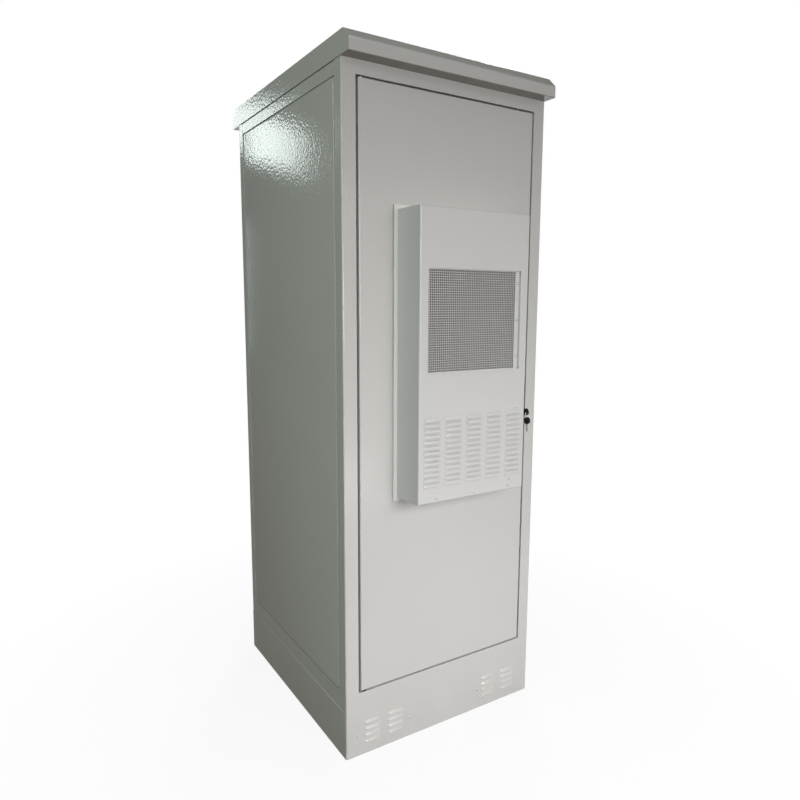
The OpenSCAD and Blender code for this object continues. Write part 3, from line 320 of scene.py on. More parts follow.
def make_dust_group():
    tree, takes, gives = new_group(
        "ground_dust",
        [("Colour", "colour", (0.8, 0.8, 0.8, 1)), ("Dust", "colour", (0.5, 0.46, 0.4, 1)),
         ("Reach", "value", 0.2), ("Amount", "value", 0.2)],
        [("Colour", "colour"), ("Film", "value")])
    place = add_node(tree, "TexCoord").outputs["Object"]
    axes = add_node(tree, "SeparateXYZ")
    tree.links.new(place, axes.inputs[0])
    low = spread(tree, axes.outputs["Z"], 0.0, takes["Reach"], 1.0, 0.0)
    cloud = spread(tree, noise(tree, place, 14.0, 6.0, 0.6), 0.3, 0.7, 0.2, 1.0)
    film = maths(tree, "MULTIPLY", maths(tree, "MULTIPLY", low, cloud), takes["Amount"])
    blend = add_node(tree, "Mix", data_type="RGBA")
    tree.links.new(film, blend.inputs["Factor"])
    tree.links.new(takes["Colour"], blend.inputs["A"])
    tree.links.new(takes["Dust"], blend.inputs["B"])
    tree.links.new(blend.outputs["Result"], gives["Colour"])
    tree.links.new(film, gives["Film"])
    return tree


tone_drift = make_tone_group()
ground_dust = make_dust_group()
print("made", tone_drift.name, "and", ground_dust.name)

# %% [markdown]
# Galvanised sheet shows flat grey crystals, the spangle, which Voronoi cells imitate well. Turned
# and drawn metal shows fine lines along one direction, which is noise stretched along that axis.
# Moulded plastic and rubber have a fine, even grain.

# %% Metal spangle, drawn lines and moulded grain
def make_spangle_group():
    tree, takes, gives = new_group(
        "zinc_spangle", [("Cells per metre", "value", 70.0)], [("Crystal", "value")])
    place = add_node(tree, "TexCoord").outputs["Object"]
    warp = add_node(tree, "VectorMath", operation="MULTIPLY_ADD")
    wobble = add_node(tree, "TexNoise")
    wobble.inputs["Scale"].default_value = 40.0
    tree.links.new(place, wobble.inputs["Vector"])
    tree.links.new(wobble.outputs["Color"], warp.inputs[0])
    warp.inputs[1].default_value = (0.012, 0.012, 0.012)
    tree.links.new(place, warp.inputs[2])
    cells = add_node(tree, "TexVoronoi")
    tree.links.new(warp.outputs[0], cells.inputs["Vector"])
    tree.links.new(takes["Cells per metre"], cells.inputs["Scale"])
    grey = add_node(tree, "RGBToBW")
    tree.links.new(cells.outputs["Color"], grey.inputs[0])
    tree.links.new(grey.outputs[0], gives["Crystal"])
    return tree


def make_drawn_group():
    tree, takes, gives = new_group(
        "drawn_lines", [("Lines per metre", "value", 900.0)], [("Line", "value")])
    place = add_node(tree, "TexCoord").outputs["Object"]
    stretch = add_node(tree, "Mapping", vector_type="POINT")
    stretch.inputs["Scale"].default_value = (1.0, 1.0, 0.03)
    tree.links.new(place, stretch.inputs["Vector"])
    line = noise(tree, stretch.outputs["Vector"], takes["Lines per metre"], 3.0, 0.6)
    tree.links.new(line, gives["Line"])
    return tree


def make_grain_group():
    tree, takes, gives = new_group(
        "moulded_grain", [("Cells per metre", "value", 1500.0)], [("Height", "value")])
    place = add_node(tree, "TexCoord").outputs["Object"]
    grain = noise(tree, place, takes["Cells per metre"], 2.0, 0.6)
    tree.links.new(grain, gives["Height"])
    return tree


zinc_spangle = make_spangle_group()
drawn_lines = make_drawn_group()
moulded_grain = make_grain_group()
print("made", zinc_spangle.name, drawn_lines.name, moulded_grain.name)

# %% [markdown]
# ## The finishes
# Every finish keeps its Principled shader in the material itself. Numbers that are the same all
# over, such as the coat, are set on the shader. Only what changes over the surface comes from the
# groups: the colour, the roughness and the height that feeds the bump.

# %% A helper that starts a finish
def start_finish(name, **shader_values):
    """A material with its Principled shader, set to plain values where they are the same all over."""
    material = bpy.data.materials.new(name)
    material.use_nodes = True
    tree = material.node_tree
    shader = tree.nodes["Principled BSDF"]
    for label, value in shader_values.items():
        shader.inputs[label.replace("_", " ")].default_value = value
    return material, tree, shader


def place_group(tree, group, **values):
    """A shared effect placed in a material with this finish's own values."""
    node = add_node(tree, "Group", node_tree=group)
    for label, value in values.items():
        node.inputs[label.replace("_", " ")].default_value = value
    return node


def add_bump(tree, shader, height, distance, strength=1.0):
    bump = add_node(tree, "Bump")
    bump.inputs["Distance"].default_value = distance
    bump.inputs["Strength"].default_value = strength
    tree.links.new(height, bump.inputs["Height"])
    tree.links.new(bump.outputs["Normal"], shader.inputs["Normal"])


def rgba(red, green, blue):
    """A colour written as it looks on a screen, 0 to 255, turned into linear light."""
    def linear(v):
        v /= 255
        return v / 12.92 if v <= 0.04045 else ((v + 0.055) / 1.055) ** 2.4
    return (linear(red), linear(green), linear(blue), 1.0)


print("finish helpers ready")

# %% [markdown]
# The body and the cooling unit are both powder coated. The body is a warm light grey with a clear
# gloss and a coarse skin, so a lamp's reflection on it breaks up into grains at its edge. The hood
# is the same, with painted shade on its lower face. The unit has a finer and duller skin. Its cover
# gets painted shade deep in its corners, by an Ambient Occlusion node, and its chassis gets a
# lighter copy of the unit's paint, painted light for the light that its flange catches.

# %% Powder coats
DUST = rgba(150, 142, 128)
DUST_REACH = 0.22
UNDERSIDE_PAINTED_SHADE = rgba(90, 80, 62)
UNDERSIDE_SHADE_SHARE = 0.72
UNDERSIDE_SHADE_FULL, UNDERSIDE_SHADE_END = 1 * MM, 3 * MM
CORNER_SHADE = rgba(110, 108, 106)
CORNER_REACH = 12 * MM


def powder_coat(name, colour, drift, cells, depth, rough, dust, underside=None, corners=0.0):
    """Painted sheet; underside is the height of a lower face that is darkened there as painted
    shade, and the corner amount is how much painted shade darkens the paint deep in a corner."""
    material, tree, shader = start_finish(name)
    tone = place_group(tree, tone_drift, Colour=colour, Amount=drift, Size=2.2)
    film = place_group(tree, ground_dust, Dust=DUST, Reach=DUST_REACH, Amount=dust)
    peel = place_group(tree, peel_skin, Cells_per_metre=cells)
    tree.links.new(tone.outputs["Colour"], film.inputs["Colour"])
    paint = film.outputs["Colour"]
    # Painted shade: the paint is darkened just above the underside height, where the lower face lies in
    # shade.
    if underside is not None:
        axes = add_node(tree, "SeparateXYZ")
        tree.links.new(add_node(tree, "TexCoord").outputs["Object"], axes.inputs[0])
        underside_shade = add_node(tree, "Mix", data_type="RGBA")
        share = spread(tree, axes.outputs["Z"], underside + UNDERSIDE_SHADE_FULL, underside + UNDERSIDE_SHADE_END,
                       UNDERSIDE_SHADE_SHARE, 0.0)
        tree.links.new(share, underside_shade.inputs["Factor"])
        tree.links.new(paint, underside_shade.inputs["A"])
        underside_shade.inputs["B"].default_value = UNDERSIDE_PAINTED_SHADE
        paint = underside_shade.outputs["Result"]
    # Painted shade: an Ambient Occlusion node darkens the paint deep in corners and crevices.
    if corners:
        hollow = add_node(tree, "AmbientOcclusion", samples=8, only_local=True)
        hollow.inputs["Distance"].default_value = CORNER_REACH
        shade = add_node(tree, "Mix", data_type="RGBA", blend_type="MULTIPLY")
        share = spread(tree, hollow.outputs["AO"], 0.35, 0.95, corners, 0.0)
        tree.links.new(share, shade.inputs["Factor"])
        tree.links.new(paint, shade.inputs["A"])
        shade.inputs["B"].default_value = CORNER_SHADE
        paint = shade.outputs["Result"]
    tree.links.new(paint, shader.inputs["Base Color"])
    dull = maths(tree, "MULTIPLY_ADD", film.outputs["Film"], 0.35, rough)
    uneven = maths(tree, "MULTIPLY_ADD", tone.outputs["Patch"], 0.06, dull)
    tree.links.new(uneven, shader.inputs["Roughness"])
    add_bump(tree, shader, peel.outputs["Height"], depth)
    return material


# Colour, drift of the tone, cells of the skin to a metre, its depth, and the roughness.
BODY_COAT = (rgba(204, 203, 202), 0.04, 112.0, 0.00031, 0.09)
# The same without the colour, and with the dust.
UNIT_COAT = (0.03, 220.0, 0.0001, 0.31, 0.0)
body_paint = powder_coat("body_paint", *BODY_COAT, 0.12)
# The hood's paint carries painted shade on its lower face.
hood_paint_shaded_below = powder_coat("hood_paint_shaded_below", *BODY_COAT, 0.0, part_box("roof_hood")[0].z)
# The unit's cover gets painted shade deep in its corners.
unit_paint = powder_coat("unit_paint", rgba(207, 207, 207), *UNIT_COAT, corners=0.5)
# Painted light: the chassis gets a lighter copy of the unit's paint for the light that its flange catches.
chassis_painted_light = powder_coat("chassis_painted_light", rgba(228, 228, 228), *UNIT_COAT)
print("made", body_paint.name, hood_paint_shaded_below.name, unit_paint.name, chassis_painted_light.name)

# %% [markdown]
# Inside, the plates and rails are galvanised. Screws and pins are bright plated steel. The earth
# bar is copper and the coils have aluminium fins. All of these are metals, so their colour is the
# colour of their reflection.

# %% Metals
def spangled_zinc():
    material, tree, shader = start_finish("zinc_steel", Metallic=0.9)
    crystal = place_group(tree, zinc_spangle, Cells_per_metre=90.0)
    tone = place_group(tree, tone_drift, Colour=rgba(168, 171, 174), Amount=0.1, Size=6.0)
    shade = add_node(tree, "HueSaturation")
    tree.links.new(tone.outputs["Colour"], shade.inputs["Color"])
    tree.links.new(spread(tree, crystal.outputs["Crystal"], 0.0, 1.0, 0.86, 1.12),
                   shade.inputs["Value"])
    tree.links.new(shade.outputs["Color"], shader.inputs["Base Color"])
    tree.links.new(spread(tree, crystal.outputs["Crystal"], 0.0, 1.0, 0.34, 0.5),
                   shader.inputs["Roughness"])
    return material


def drawn_metal(name, colour, lines, rough, tarnish):
    material, tree, shader = start_finish(name, Metallic=1.0)
    line = place_group(tree, drawn_lines, Lines_per_metre=lines)
    tone = place_group(tree, tone_drift, Colour=colour, Amount=tarnish, Size=30.0)
    tree.links.new(tone.outputs["Colour"], shader.inputs["Base Color"])
    tree.links.new(spread(tree, line.outputs["Line"], 0.3, 0.7, rough * 0.75, rough * 1.3),
                   shader.inputs["Roughness"])
    add_bump(tree, shader, line.outputs["Line"], 0.00004)
    return material


zinc_steel = spangled_zinc()
screw_steel = drawn_metal("screw_steel", rgba(196, 196, 196), 1200.0, 0.24, 0.08)
copper_bar = drawn_metal("copper_bar", rgba(196, 128, 92), 800.0, 0.3, 0.25)
coil_metal = drawn_metal("coil_metal", rgba(178, 178, 176), 500.0, 0.4, 0.15)
print("made", zinc_steel.name, screw_steel.name, copper_bar.name, coil_metal.name)

# %% [markdown]
# The handle, glands, hinge bushes and key heads are black plastic with a fine moulded grain, the
# seals are matt foam rubber, the filter is a grey fleece, and the motors carry a thin black paint.

# %% Plastics, rubber, fleece and motor black
def moulded(name, colour, cells, depth, rough, drift):
    material, tree, shader = start_finish(name, Specular_IOR_Level=0.25)
    grain = place_group(tree, moulded_grain, Cells_per_metre=cells)
    tone = place_group(tree, tone_drift, Colour=colour, Amount=drift, Size=25.0)
    tree.links.new(tone.outputs["Colour"], shader.inputs["Base Color"])
    tree.links.new(spread(tree, grain.outputs["Height"], 0.3, 0.7, rough * 0.85, rough * 1.15),
                   shader.inputs["Roughness"])
    add_bump(tree, shader, grain.outputs["Height"], depth)
    return material


black_plastic = moulded("black_plastic", rgba(20, 20, 21), 1600.0, 0.00012, 0.3, 0.2)
seal_rubber = moulded("seal_rubber", rgba(40, 40, 41), 2400.0, 0.0002, 0.8, 0.3)
filter_pad = moulded("filter_pad", rgba(120, 122, 124), 2200.0, 0.0006, 0.95, 0.4)
motor_black = moulded("motor_black", rgba(38, 39, 41), 700.0, 0.0001, 0.45, 0.25)
print("made", black_plastic.name, seal_rubber.name, filter_pad.name, motor_black.name)

# %% [markdown]
# A key is one part in two materials: a black moulded head and a plated blade. The border between
# them is a plane across the key, so the finish switches there by Object coordinates. The key in
# the lock points along Y and the spare hangs along Z, so each gets its own border.

# %% Keys
def key_finish(name, axis, border, blade_above):
    material, tree, shader = start_finish(name, Specular_IOR_Level=0.25)
    axes = add_node(tree, "SeparateXYZ")
    tree.links.new(add_node(tree, "TexCoord").outputs["Object"], axes.inputs[0])
    test = "GREATER_THAN" if blade_above else "LESS_THAN"
    blade = maths(tree, test, axes.outputs[axis], border)
    grain = place_group(tree, moulded_grain, Cells_per_metre=1800.0)
    tone = place_group(tree, tone_drift, Colour=rgba(10, 10, 11), Amount=0.2, Size=40.0)
    colour = add_node(tree, "Mix", data_type="RGBA")
    tree.links.new(blade, colour.inputs["Factor"])
    tree.links.new(tone.outputs["Colour"], colour.inputs["A"])
    colour.inputs["B"].default_value = rgba(186, 184, 178)
    tree.links.new(colour.outputs["Result"], shader.inputs["Base Color"])
    tree.links.new(blade, shader.inputs["Metallic"])
    tree.links.new(spread(tree, grain.outputs["Height"], 0.3, 0.7, 0.1, 0.16),
                   shader.inputs["Roughness"])
    add_bump(tree, shader, grain.outputs["Height"], 0.00003)
    return material


KEY_HEAD = 22 * MM
key_black = key_finish("key_black", "Y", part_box("key")[0].y + KEY_HEAD, True)
spare_black = key_finish("spare_black", "Z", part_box("spare_key")[1].z - KEY_HEAD, False)
print("made", key_black.name, spare_black.name)

# %% [markdown]
# Each node already knows its slot from the record, so the finishes go on by that name. There are
# three exceptions: the spare key, because its border lies the other way, the hood, whose underside
# carries painted shade, and the unit's chassis, whose lighter paint is painted light.

# %% Put the finishes on the nodes
finishes = {
    "body_paint": body_paint, "unit_paint": unit_paint, "zinc_steel": zinc_steel,
    "screw_steel": screw_steel, "black_plastic": black_plastic, "seal_rubber": seal_rubber,
    "copper_bar": copper_bar, "filter_pad": filter_pad, "coil_metal": coil_metal,
    "key_black": key_black, "motor_black": motor_black,
}
special = {"spare_key": spare_black, "roof_hood": hood_paint_shaded_below, "unit_chassis": chassis_painted_light}
for part in frame["record"]["subparts"]:
    node = nodes[part["node"]]
    finish = special.get(part["node"], finishes[part["material_slot"]])
    node.data.materials.clear()
    node.data.materials.append(finish)

# %% [markdown]
# ## Soft edges on the sheets and the handle
# A drawing has knife-sharp edges, while pressed and painted sheet never has: the paint rounds every
# edge, and the round edge catches a thin line of light. A Weld modifier first joins the corners
# that the mesh keeps apart at each face, and a Bevel modifier then rounds the edges that turn by
# more than thirty degrees. The nodes themselves stay as they are. The door pan and the unit's cover
# are left out, because the Bevel spoils the shading round their many cut-outs.

# %% Rounded paint edges
SOFT_EDGES = ["roof_hood", "plinth", "upper_side_rails", "lower_side_rails",
              "front_frame", "rear_frame", "lever", "handle_base"]
EDGE_ROUND = 0.9 * MM
EDGE_TURN = 30
WELD_REACH = 0.005 * MM


def soften(node):
    """Rounds a node's edges without touching its mesh."""
    weld = node.modifiers.new("weld", "WELD")
    weld.merge_threshold = WELD_REACH
    bevel = node.modifiers.new("bevel", "BEVEL")
    bevel.width = EDGE_ROUND
    bevel.segments = 3
    bevel.limit_method = "ANGLE"
    bevel.angle_limit = math.radians(EDGE_TURN)
    bevel.harden_normals = True


for name in SOFT_EDGES:
    soften(nodes[name])
print("rounded the edges of", len(SOFT_EDGES), "nodes")

# %% [markdown]
# ## Pressed panels
# The sides and the back are closed by pressed panels: the field stands proud of a thin rim, with
# round corners and a generous round edge that draws a line of light along the groove. Each field
# starts as a block. Its four corner edges are bevelled wide, then the outline of its outer face is
# bevelled round. A thin plate behind it is the rim.

# %% Pressed side and back panels
PANEL_CORNER = 15 * MM
PANEL_ROUND = 3.2 * MM
PANEL_RIM = 0.8 * MM
PANEL_EDGE_UP = 14 * MM
SIDE_EDGE = 8 * MM
BACK_EDGE = 16 * MM
PANELS = (("side_panel_left", 0, -1, SIDE_EDGE), ("side_panel_right", 0, 1, SIDE_EDGE),
          ("back_panel", 1, 1, BACK_EDGE))


def make_panel(node, axis, side, edge_across):
    """A pressed panel in a node's place; axis 0 or 1 and side -1 or 1 give the way it faces."""
    low, high = (Vector(corner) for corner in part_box(node))
    across = 1 - axis
    outer, inner = (high, low) if side > 0 else (low, high)
    rim_low, rim_high = low.copy(), high.copy()
    field_low, field_high = low.copy(), high.copy()
    (rim_high if side > 0 else rim_low)[axis] = inner[axis] + side * PANEL_RIM
    (field_low if side > 0 else field_high)[axis] = inner[axis] + side * PANEL_RIM / 2
    shrink = Vector((0, 0, PANEL_EDGE_UP))
    shrink[across] = edge_across
    field = block("field", field_low + shrink, field_high - shrink)
    enter_edit(field, "EDGE")
    corners = pick_edges(field, lambda a, b: abs(a[axis] - b[axis]) > 1 * MM)
    bpy.ops.mesh.bevel(offset=PANEL_CORNER, segments=8, profile=0.5, affect="EDGES")
    face_at = outer[axis]
    pick_edges(field, lambda a, b: max(abs(a[axis] - face_at), abs(b[axis] - face_at)) < 1e-6)
    bpy.ops.mesh.bevel(offset=PANEL_ROUND, segments=5, profile=0.5, affect="EDGES")
    bpy.ops.object.mode_set(mode="OBJECT")
    rim = block("rim", rim_low, rim_high)
    print(node, "rounded", corners, "corners")
    return settle(join_pieces([field, rim], node + "_pressed"), 40)


for node, axis, side, edge_across in PANELS:
    dress(make_panel(node, axis, side, edge_across), "cabinet", body_paint, [node])

# %% [markdown]
# ## The grille's perforated sheet
# The real grille is a thin sheet with close rows of square holes. Cutting two thousand holes with
# booleans is slow. Instead a grid is added with one cell to a hole, its outer lines are pulled out
# to make the plain border, every inner cell is inset, and the small faces are deleted. Solidify
# then gives the sheet its thickness.

# %% Perforated grille sheet
GRILLE_SEAT = 10 * MM
GRILLE_STRIP = 14 * MM
HOLE_COLUMNS = 48
HOLE_ROWS = 43
HOLE_BAR = 1.6 * MM
HOLE_EDGE = 2 * MM


def make_grille():
    """The sheet in the plate's place, with a wider plain strip at its right for the screws."""
    low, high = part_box("grille_plate")
    inset = GRILLE_SEAT + HOLE_EDGE
    hole_low = Vector((low.x + inset, 0, low.z + inset))
    hole_high = Vector((high.x - GRILLE_SEAT - GRILLE_STRIP, 0, high.z - inset))
    size = hole_high - hole_low
    cell_x, cell_z = size.x / HOLE_COLUMNS, size.z / HOLE_ROWS
    clear_selection()
    bpy.ops.mesh.primitive_grid_add(
        x_subdivisions=HOLE_COLUMNS + 2, y_subdivisions=HOLE_ROWS + 2, size=1)
    sheet = bpy.context.object
    sheet.name = "grille_sheet"
    sheet.scale = (size.x + 2 * cell_x, size.z + 2 * cell_z, 1)
    sheet.rotation_euler = (math.pi / 2, 0, 0)
    middle = (hole_low + hole_high) / 2
    sheet.location = (middle.x, low.y, middle.z)
    settle(sheet)
    enter_edit(sheet)
    near = 0.5 * min(cell_x, cell_z)
    inner = pick_faces(sheet, lambda c, n: (hole_low.x < c.x < hole_high.x
                                            and hole_low.z < c.z < hole_high.z))
    bpy.ops.mesh.inset(thickness=HOLE_BAR / 2, depth=0, use_individual=True)
    bpy.ops.mesh.delete(type="FACE")
    bpy.ops.mesh.select_mode(type="VERT")
    for axis, edge, goal in (("x", hole_low.x, low.x), ("x", hole_high.x, high.x),
                             ("z", hole_low.z, low.z), ("z", hole_high.z, high.z)):
        side = 1 if goal > edge else -1
        pick_points(sheet, lambda p: side * (getattr(p, axis) - edge) > near)
        cell = cell_x if axis == "x" else cell_z
        step = goal - (edge + side * cell)
        move = (step, 0, 0) if axis == "x" else (0, 0, step)
        bpy.ops.transform.translate(value=move)
    bpy.ops.object.mode_set(mode="OBJECT")
    use_modifier(sheet, "SOLIDIFY", thickness=high.y - low.y, offset=-1)
    print("inset", inner, "cells of", round(cell_x / MM, 2), "by", round(cell_z / MM, 2), "mm")
    return settle(sheet)


grille_sheet = make_grille()
dress(grille_sheet, "door", unit_paint, ["grille_plate"])

# %% [markdown]
# ## Screws with a cross recess
# One pan-head screw is modelled once: a cylinder whose front edge is bevelled into a dome, with a
# cross cut into it by a boolean. It is then copied to every place, and the copies of each group
# are joined, because the group stands for one node.

# %% One screw, then its copies
SCREW_R = 3.6 * MM
SCREW_H = 2.4 * MM
SCREW_DOME = 1.5 * MM
CROSS_REACH = 2.0 * MM
CROSS_HALF = 0.45 * MM
CROSS_DEPTH = 1.1 * MM
SHANK_R = 2.0 * MM
SHANK_L = 5 * MM
SHANK_MIDDLE = 2.4 * MM
SCREW_GROUPS = (("grille_screws", "door"), ("cover_screws", "door"), ("apron_screws", "cabinet"))


def make_screw():
    clear_selection()
    bpy.ops.mesh.primitive_cylinder_add(vertices=32, radius=SCREW_R, depth=SCREW_H,
                                        location=(0, -SCREW_H / 2, 0), rotation=(math.pi / 2, 0, 0))
    head = bpy.context.object
    head.name = "screw_head"
    settle(head)
    enter_edit(head)
    pick_faces(head, lambda c, n: n.y < -0.9)
    bpy.ops.mesh.bevel(offset=SCREW_DOME, segments=5, profile=0.5, affect="EDGES")
    bpy.ops.object.mode_set(mode="OBJECT")
    arms = []
    for turn in (0, 90):
        arm = block("arm", (-CROSS_REACH, -2 * SCREW_H, -CROSS_HALF),
                    (CROSS_REACH, -SCREW_H + CROSS_DEPTH, CROSS_HALF))
        arm.rotation_euler = (0, math.radians(turn), 0)
        arms.append(settle(arm))
    for arm in arms:
        use_modifier(head, "BOOLEAN", object=arm, operation="DIFFERENCE", solver="EXACT")
        bpy.data.objects.remove(arm)
    clear_selection()
    bpy.ops.mesh.primitive_cylinder_add(vertices=16, radius=SHANK_R, depth=SHANK_L,
                                        location=(0, SHANK_MIDDLE, 0), rotation=(math.pi / 2, 0, 0))
    shank = bpy.context.object
    shank.name = "screw_shank"
    settle(shank)
    return settle(join_pieces([head, shank], "screw"), 40)


def node_islands(name):
    """The box of each separate solid of a node, found by flooding a merged copy of its mesh."""
    work = bmesh.new()
    work.from_mesh(nodes[name].data)
    bmesh.ops.remove_doubles(work, verts=work.verts, dist=1e-6)
    seen, islands = set(), []
    for start in work.verts:
        if start in seen:
            continue
        stack, points = [start], []
        seen.add(start)
        while stack:
            vert = stack.pop()
            points.append(vert.co.copy())
            for edge in vert.link_edges:
                other = edge.other_vert(vert)
                if other not in seen:
                    seen.add(other)
                    stack.append(other)
        low = Vector([min(p[i] for p in points) for i in range(3)])
        high = Vector([max(p[i] for p in points) for i in range(3)])
        islands.append((low, high))
    work.free()
    return sorted(islands, key=lambda box: tuple(round(v, 4) for v in (box[0] + box[1])))


screw = make_screw()
for group_name, body in SCREW_GROUPS:
    copies = []
    for number, (low, high) in enumerate(node_islands(group_name)):
        seat = ((low.x + high.x) / 2, low.y + SCREW_H, (low.z + high.z) / 2)
        copies.append(copy_piece(screw, f"{group_name}_{number}", seat))
    screws = join_pieces(copies, group_name.replace("screws", "screw_set"))
    dress(screws, body, screw_steel, [group_name])
bpy.data.objects.remove(screw)

# %% [markdown]
# ## Seals
# A door seal is a foam strip with a rounded back, glued to the door's lip. A flat frame is
# made from a rectangle by an inset, extruded to the seal's thickness, and its free edges are
# bevelled round. The thin foam ring behind the cooling unit is made the same way.

# %% Foam seals
def make_seal(name, node, width, round_by, free_side):
    """A foam ring in the node's place; free_side is -1 or 1, the side that stands free in Y."""
    low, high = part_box(node)
    clear_selection()
    bpy.ops.mesh.primitive_plane_add(size=1)
    ring = bpy.context.object
    ring.name = name
    ring.scale = (high.x - low.x, high.z - low.z, 1)
    ring.rotation_euler = (math.pi / 2, 0, 0)
    held = low.y if free_side > 0 else high.y
    ring.location = ((low.x + high.x) / 2, held, (low.z + high.z) / 2)
    settle(ring)
    enter_edit(ring)
    bpy.ops.mesh.select_all(action="SELECT")
    bpy.ops.mesh.inset(thickness=width, depth=0)
    bpy.ops.mesh.delete(type="FACE")
    bpy.ops.mesh.select_all(action="SELECT")
    bpy.ops.mesh.extrude_region_move(
        TRANSFORM_OT_translate={"value": (0, free_side * (high.y - low.y), 0)})
    bpy.ops.object.mode_set(mode="OBJECT")
    outward(ring)
    enter_edit(ring, "EDGE")
    free = high.y if free_side > 0 else low.y
    pick_faces(ring, lambda c, n: abs(c.y - free) < 1e-5)
    bpy.ops.mesh.bevel(offset=round_by, segments=4, profile=0.5, affect="EDGES")
    bpy.ops.object.mode_set(mode="OBJECT")
    return settle(ring, 50)


door_seal = make_seal("door_bulb_seal", "door_gasket", 8 * MM, 3 * MM, 1)
dress(door_seal, "door", seal_rubber, ["door_gasket"])
unit_ring = make_seal("unit_foam_seal", "unit_seal", 20 * MM, 0.8 * MM, -1)
dress(unit_ring, "door", seal_rubber, ["unit_seal"])

# %% [markdown]
# ## Coils with close fins
# A heat exchanger is a pack of thin fins on copper tubes. The drawing keeps a few fins to show
# where the coil is. Here one fin is modelled and an Array modifier repeats it at a close spacing,
# and straight tubes run through the fins between two end plates.

# %% Finned coils
FIN_PITCH = 3 * MM
FIN_THICK = 0.3 * MM
FIN_EDGE = 4 * MM
END_PLATE = 2 * MM
TUBE_R = 5 * MM
# Front and back of the fins, from the front of the condenser and from both faces of the evaporator.
CONDENSER_FINS = (2 * MM, 32 * MM)
EVAPORATOR_FINS = (6 * MM, 12 * MM)


def make_coil(name, node, tubes, depth):
    low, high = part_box(node)
    count = int((high.x - low.x - 2 * FIN_EDGE) / FIN_PITCH)
    start = (low.x + high.x) / 2 - (count - 1) / 2 * FIN_PITCH
    fin = block("fin", (start - FIN_THICK / 2, depth[0], low.z + FIN_EDGE),
                (start + FIN_THICK / 2, depth[1], high.z - FIN_EDGE))
    use_modifier(fin, "ARRAY", count=count, use_relative_offset=False, use_constant_offset=True,
                 constant_offset_displace=(FIN_PITCH, 0, 0))
    parts = [fin]
    for x0 in (low.x, high.x - END_PLATE):
        parts.append(block("end", (x0, low.y, low.z), (x0 + END_PLATE, high.y, high.z)))
    for row in range(tubes):
        height = low.z + (row + 0.5) * (high.z - low.z) / tubes
        clear_selection()
        bpy.ops.mesh.primitive_cylinder_add(
            vertices=20, radius=TUBE_R, depth=high.x - low.x - END_PLATE,
            location=((low.x + high.x) / 2, (depth[0] + depth[1]) / 2, height),
            rotation=(0, math.pi / 2, 0))
        parts.append(settle(bpy.context.object))
    return settle(join_pieces(parts, name), 40)


low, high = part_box("condenser_coil")
condenser = make_coil("condenser_fins", "condenser_coil", 8,
                      (low.y + CONDENSER_FINS[0], low.y + CONDENSER_FINS[1]))
dress(condenser, "door", coil_metal, ["condenser_coil"])
low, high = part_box("evaporator_coil")
evaporator = make_coil("evaporator_fins", "evaporator_coil", 7,
                       (low.y + EVAPORATOR_FINS[0], high.y - EVAPORATOR_FINS[1]))
dress(evaporator, "door", coil_metal, ["evaporator_coil"])

# %% [markdown]
# ## The filter behind the louvres
# The filter is a fleece folded into pleats in a slim frame. A grid with one column to each fold
# is added, every second line is pushed back to make the zigzag, and Solidify gives it body.

# %% Pleated filter
FOLD = 6 * MM
PLEAT_SEAT = 3.4 * MM
PLEAT_DEPTH = 3 * MM
FLEECE = 1.2 * MM
FILTER_RIM = 12 * MM
FILTER_ROUND = 1 * MM


def make_filter():
    low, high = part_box("air_filter")
    rim = FILTER_RIM
    span = high.x - low.x - 2 * rim
    folds = 2 * int(span / FOLD / 2)
    clear_selection()
    bpy.ops.mesh.primitive_grid_add(x_subdivisions=folds, y_subdivisions=1, size=1)
    pad = bpy.context.object
    pad.scale = (span, high.z - low.z - 2 * rim, 1)
    pad.rotation_euler = (math.pi / 2, 0, 0)
    pad.location = ((low.x + high.x) / 2, low.y + PLEAT_SEAT, (low.z + high.z) / 2)
    settle(pad)
    step = span / folds
    left = (low.x + high.x) / 2 - span / 2
    enter_edit(pad, "VERT")
    pick_points(pad, lambda p: round((p.x - left) / step) % 2 == 1)
    bpy.ops.transform.translate(value=(0, PLEAT_DEPTH, 0))
    bpy.ops.object.mode_set(mode="OBJECT")
    use_modifier(pad, "SOLIDIFY", thickness=FLEECE, offset=0)
    frame_parts = [pad]
    bars = ((low.x, high.x, low.z, low.z + rim), (low.x, high.x, high.z - rim, high.z),
            (low.x, low.x + rim, low.z + rim, high.z - rim),
            (high.x - rim, high.x, low.z + rim, high.z - rim))
    for x0, x1, z0, z1 in bars:
        bar = block("bar", (x0, low.y, z0), (x1, high.y, z1))
        use_modifier(bar, "BEVEL", width=FILTER_ROUND, segments=2)
        frame_parts.append(bar)
    return settle(join_pieces(frame_parts, "pleated_filter"), 30)


pleated_filter = make_filter()
dress(pleated_filter, "door", filter_pad, ["air_filter"])

# %% [markdown]
# ## The studio
# The cabinet stands on a pale floor in front of a white background. The floor keeps the soft
# shadow near the cabinet and fades to white further out. Camera, glossy and transmission rays see
# a white world, and the light that reaches the cabinet comes from soft lamps.

# %% Floor and world
AMBIENT = (0.13, 0.134, 0.121, 1)
FLOOR_BOUNCE, FLOOR_SEEN = 0.16, 0.8
FADE_FROM, FADE_TO = 0.5, 1.5
FADE_NEAR = 0.9


def seen_rays(tree):
    """1 where a ray shows the background itself: camera, glossy and transmission rays."""
    path = add_node(tree, "LightPath")
    first = maths(tree, "MAXIMUM", path.outputs["Is Camera Ray"], path.outputs["Is Glossy Ray"])
    return maths(tree, "MAXIMUM", first, path.outputs["Is Transmission Ray"])


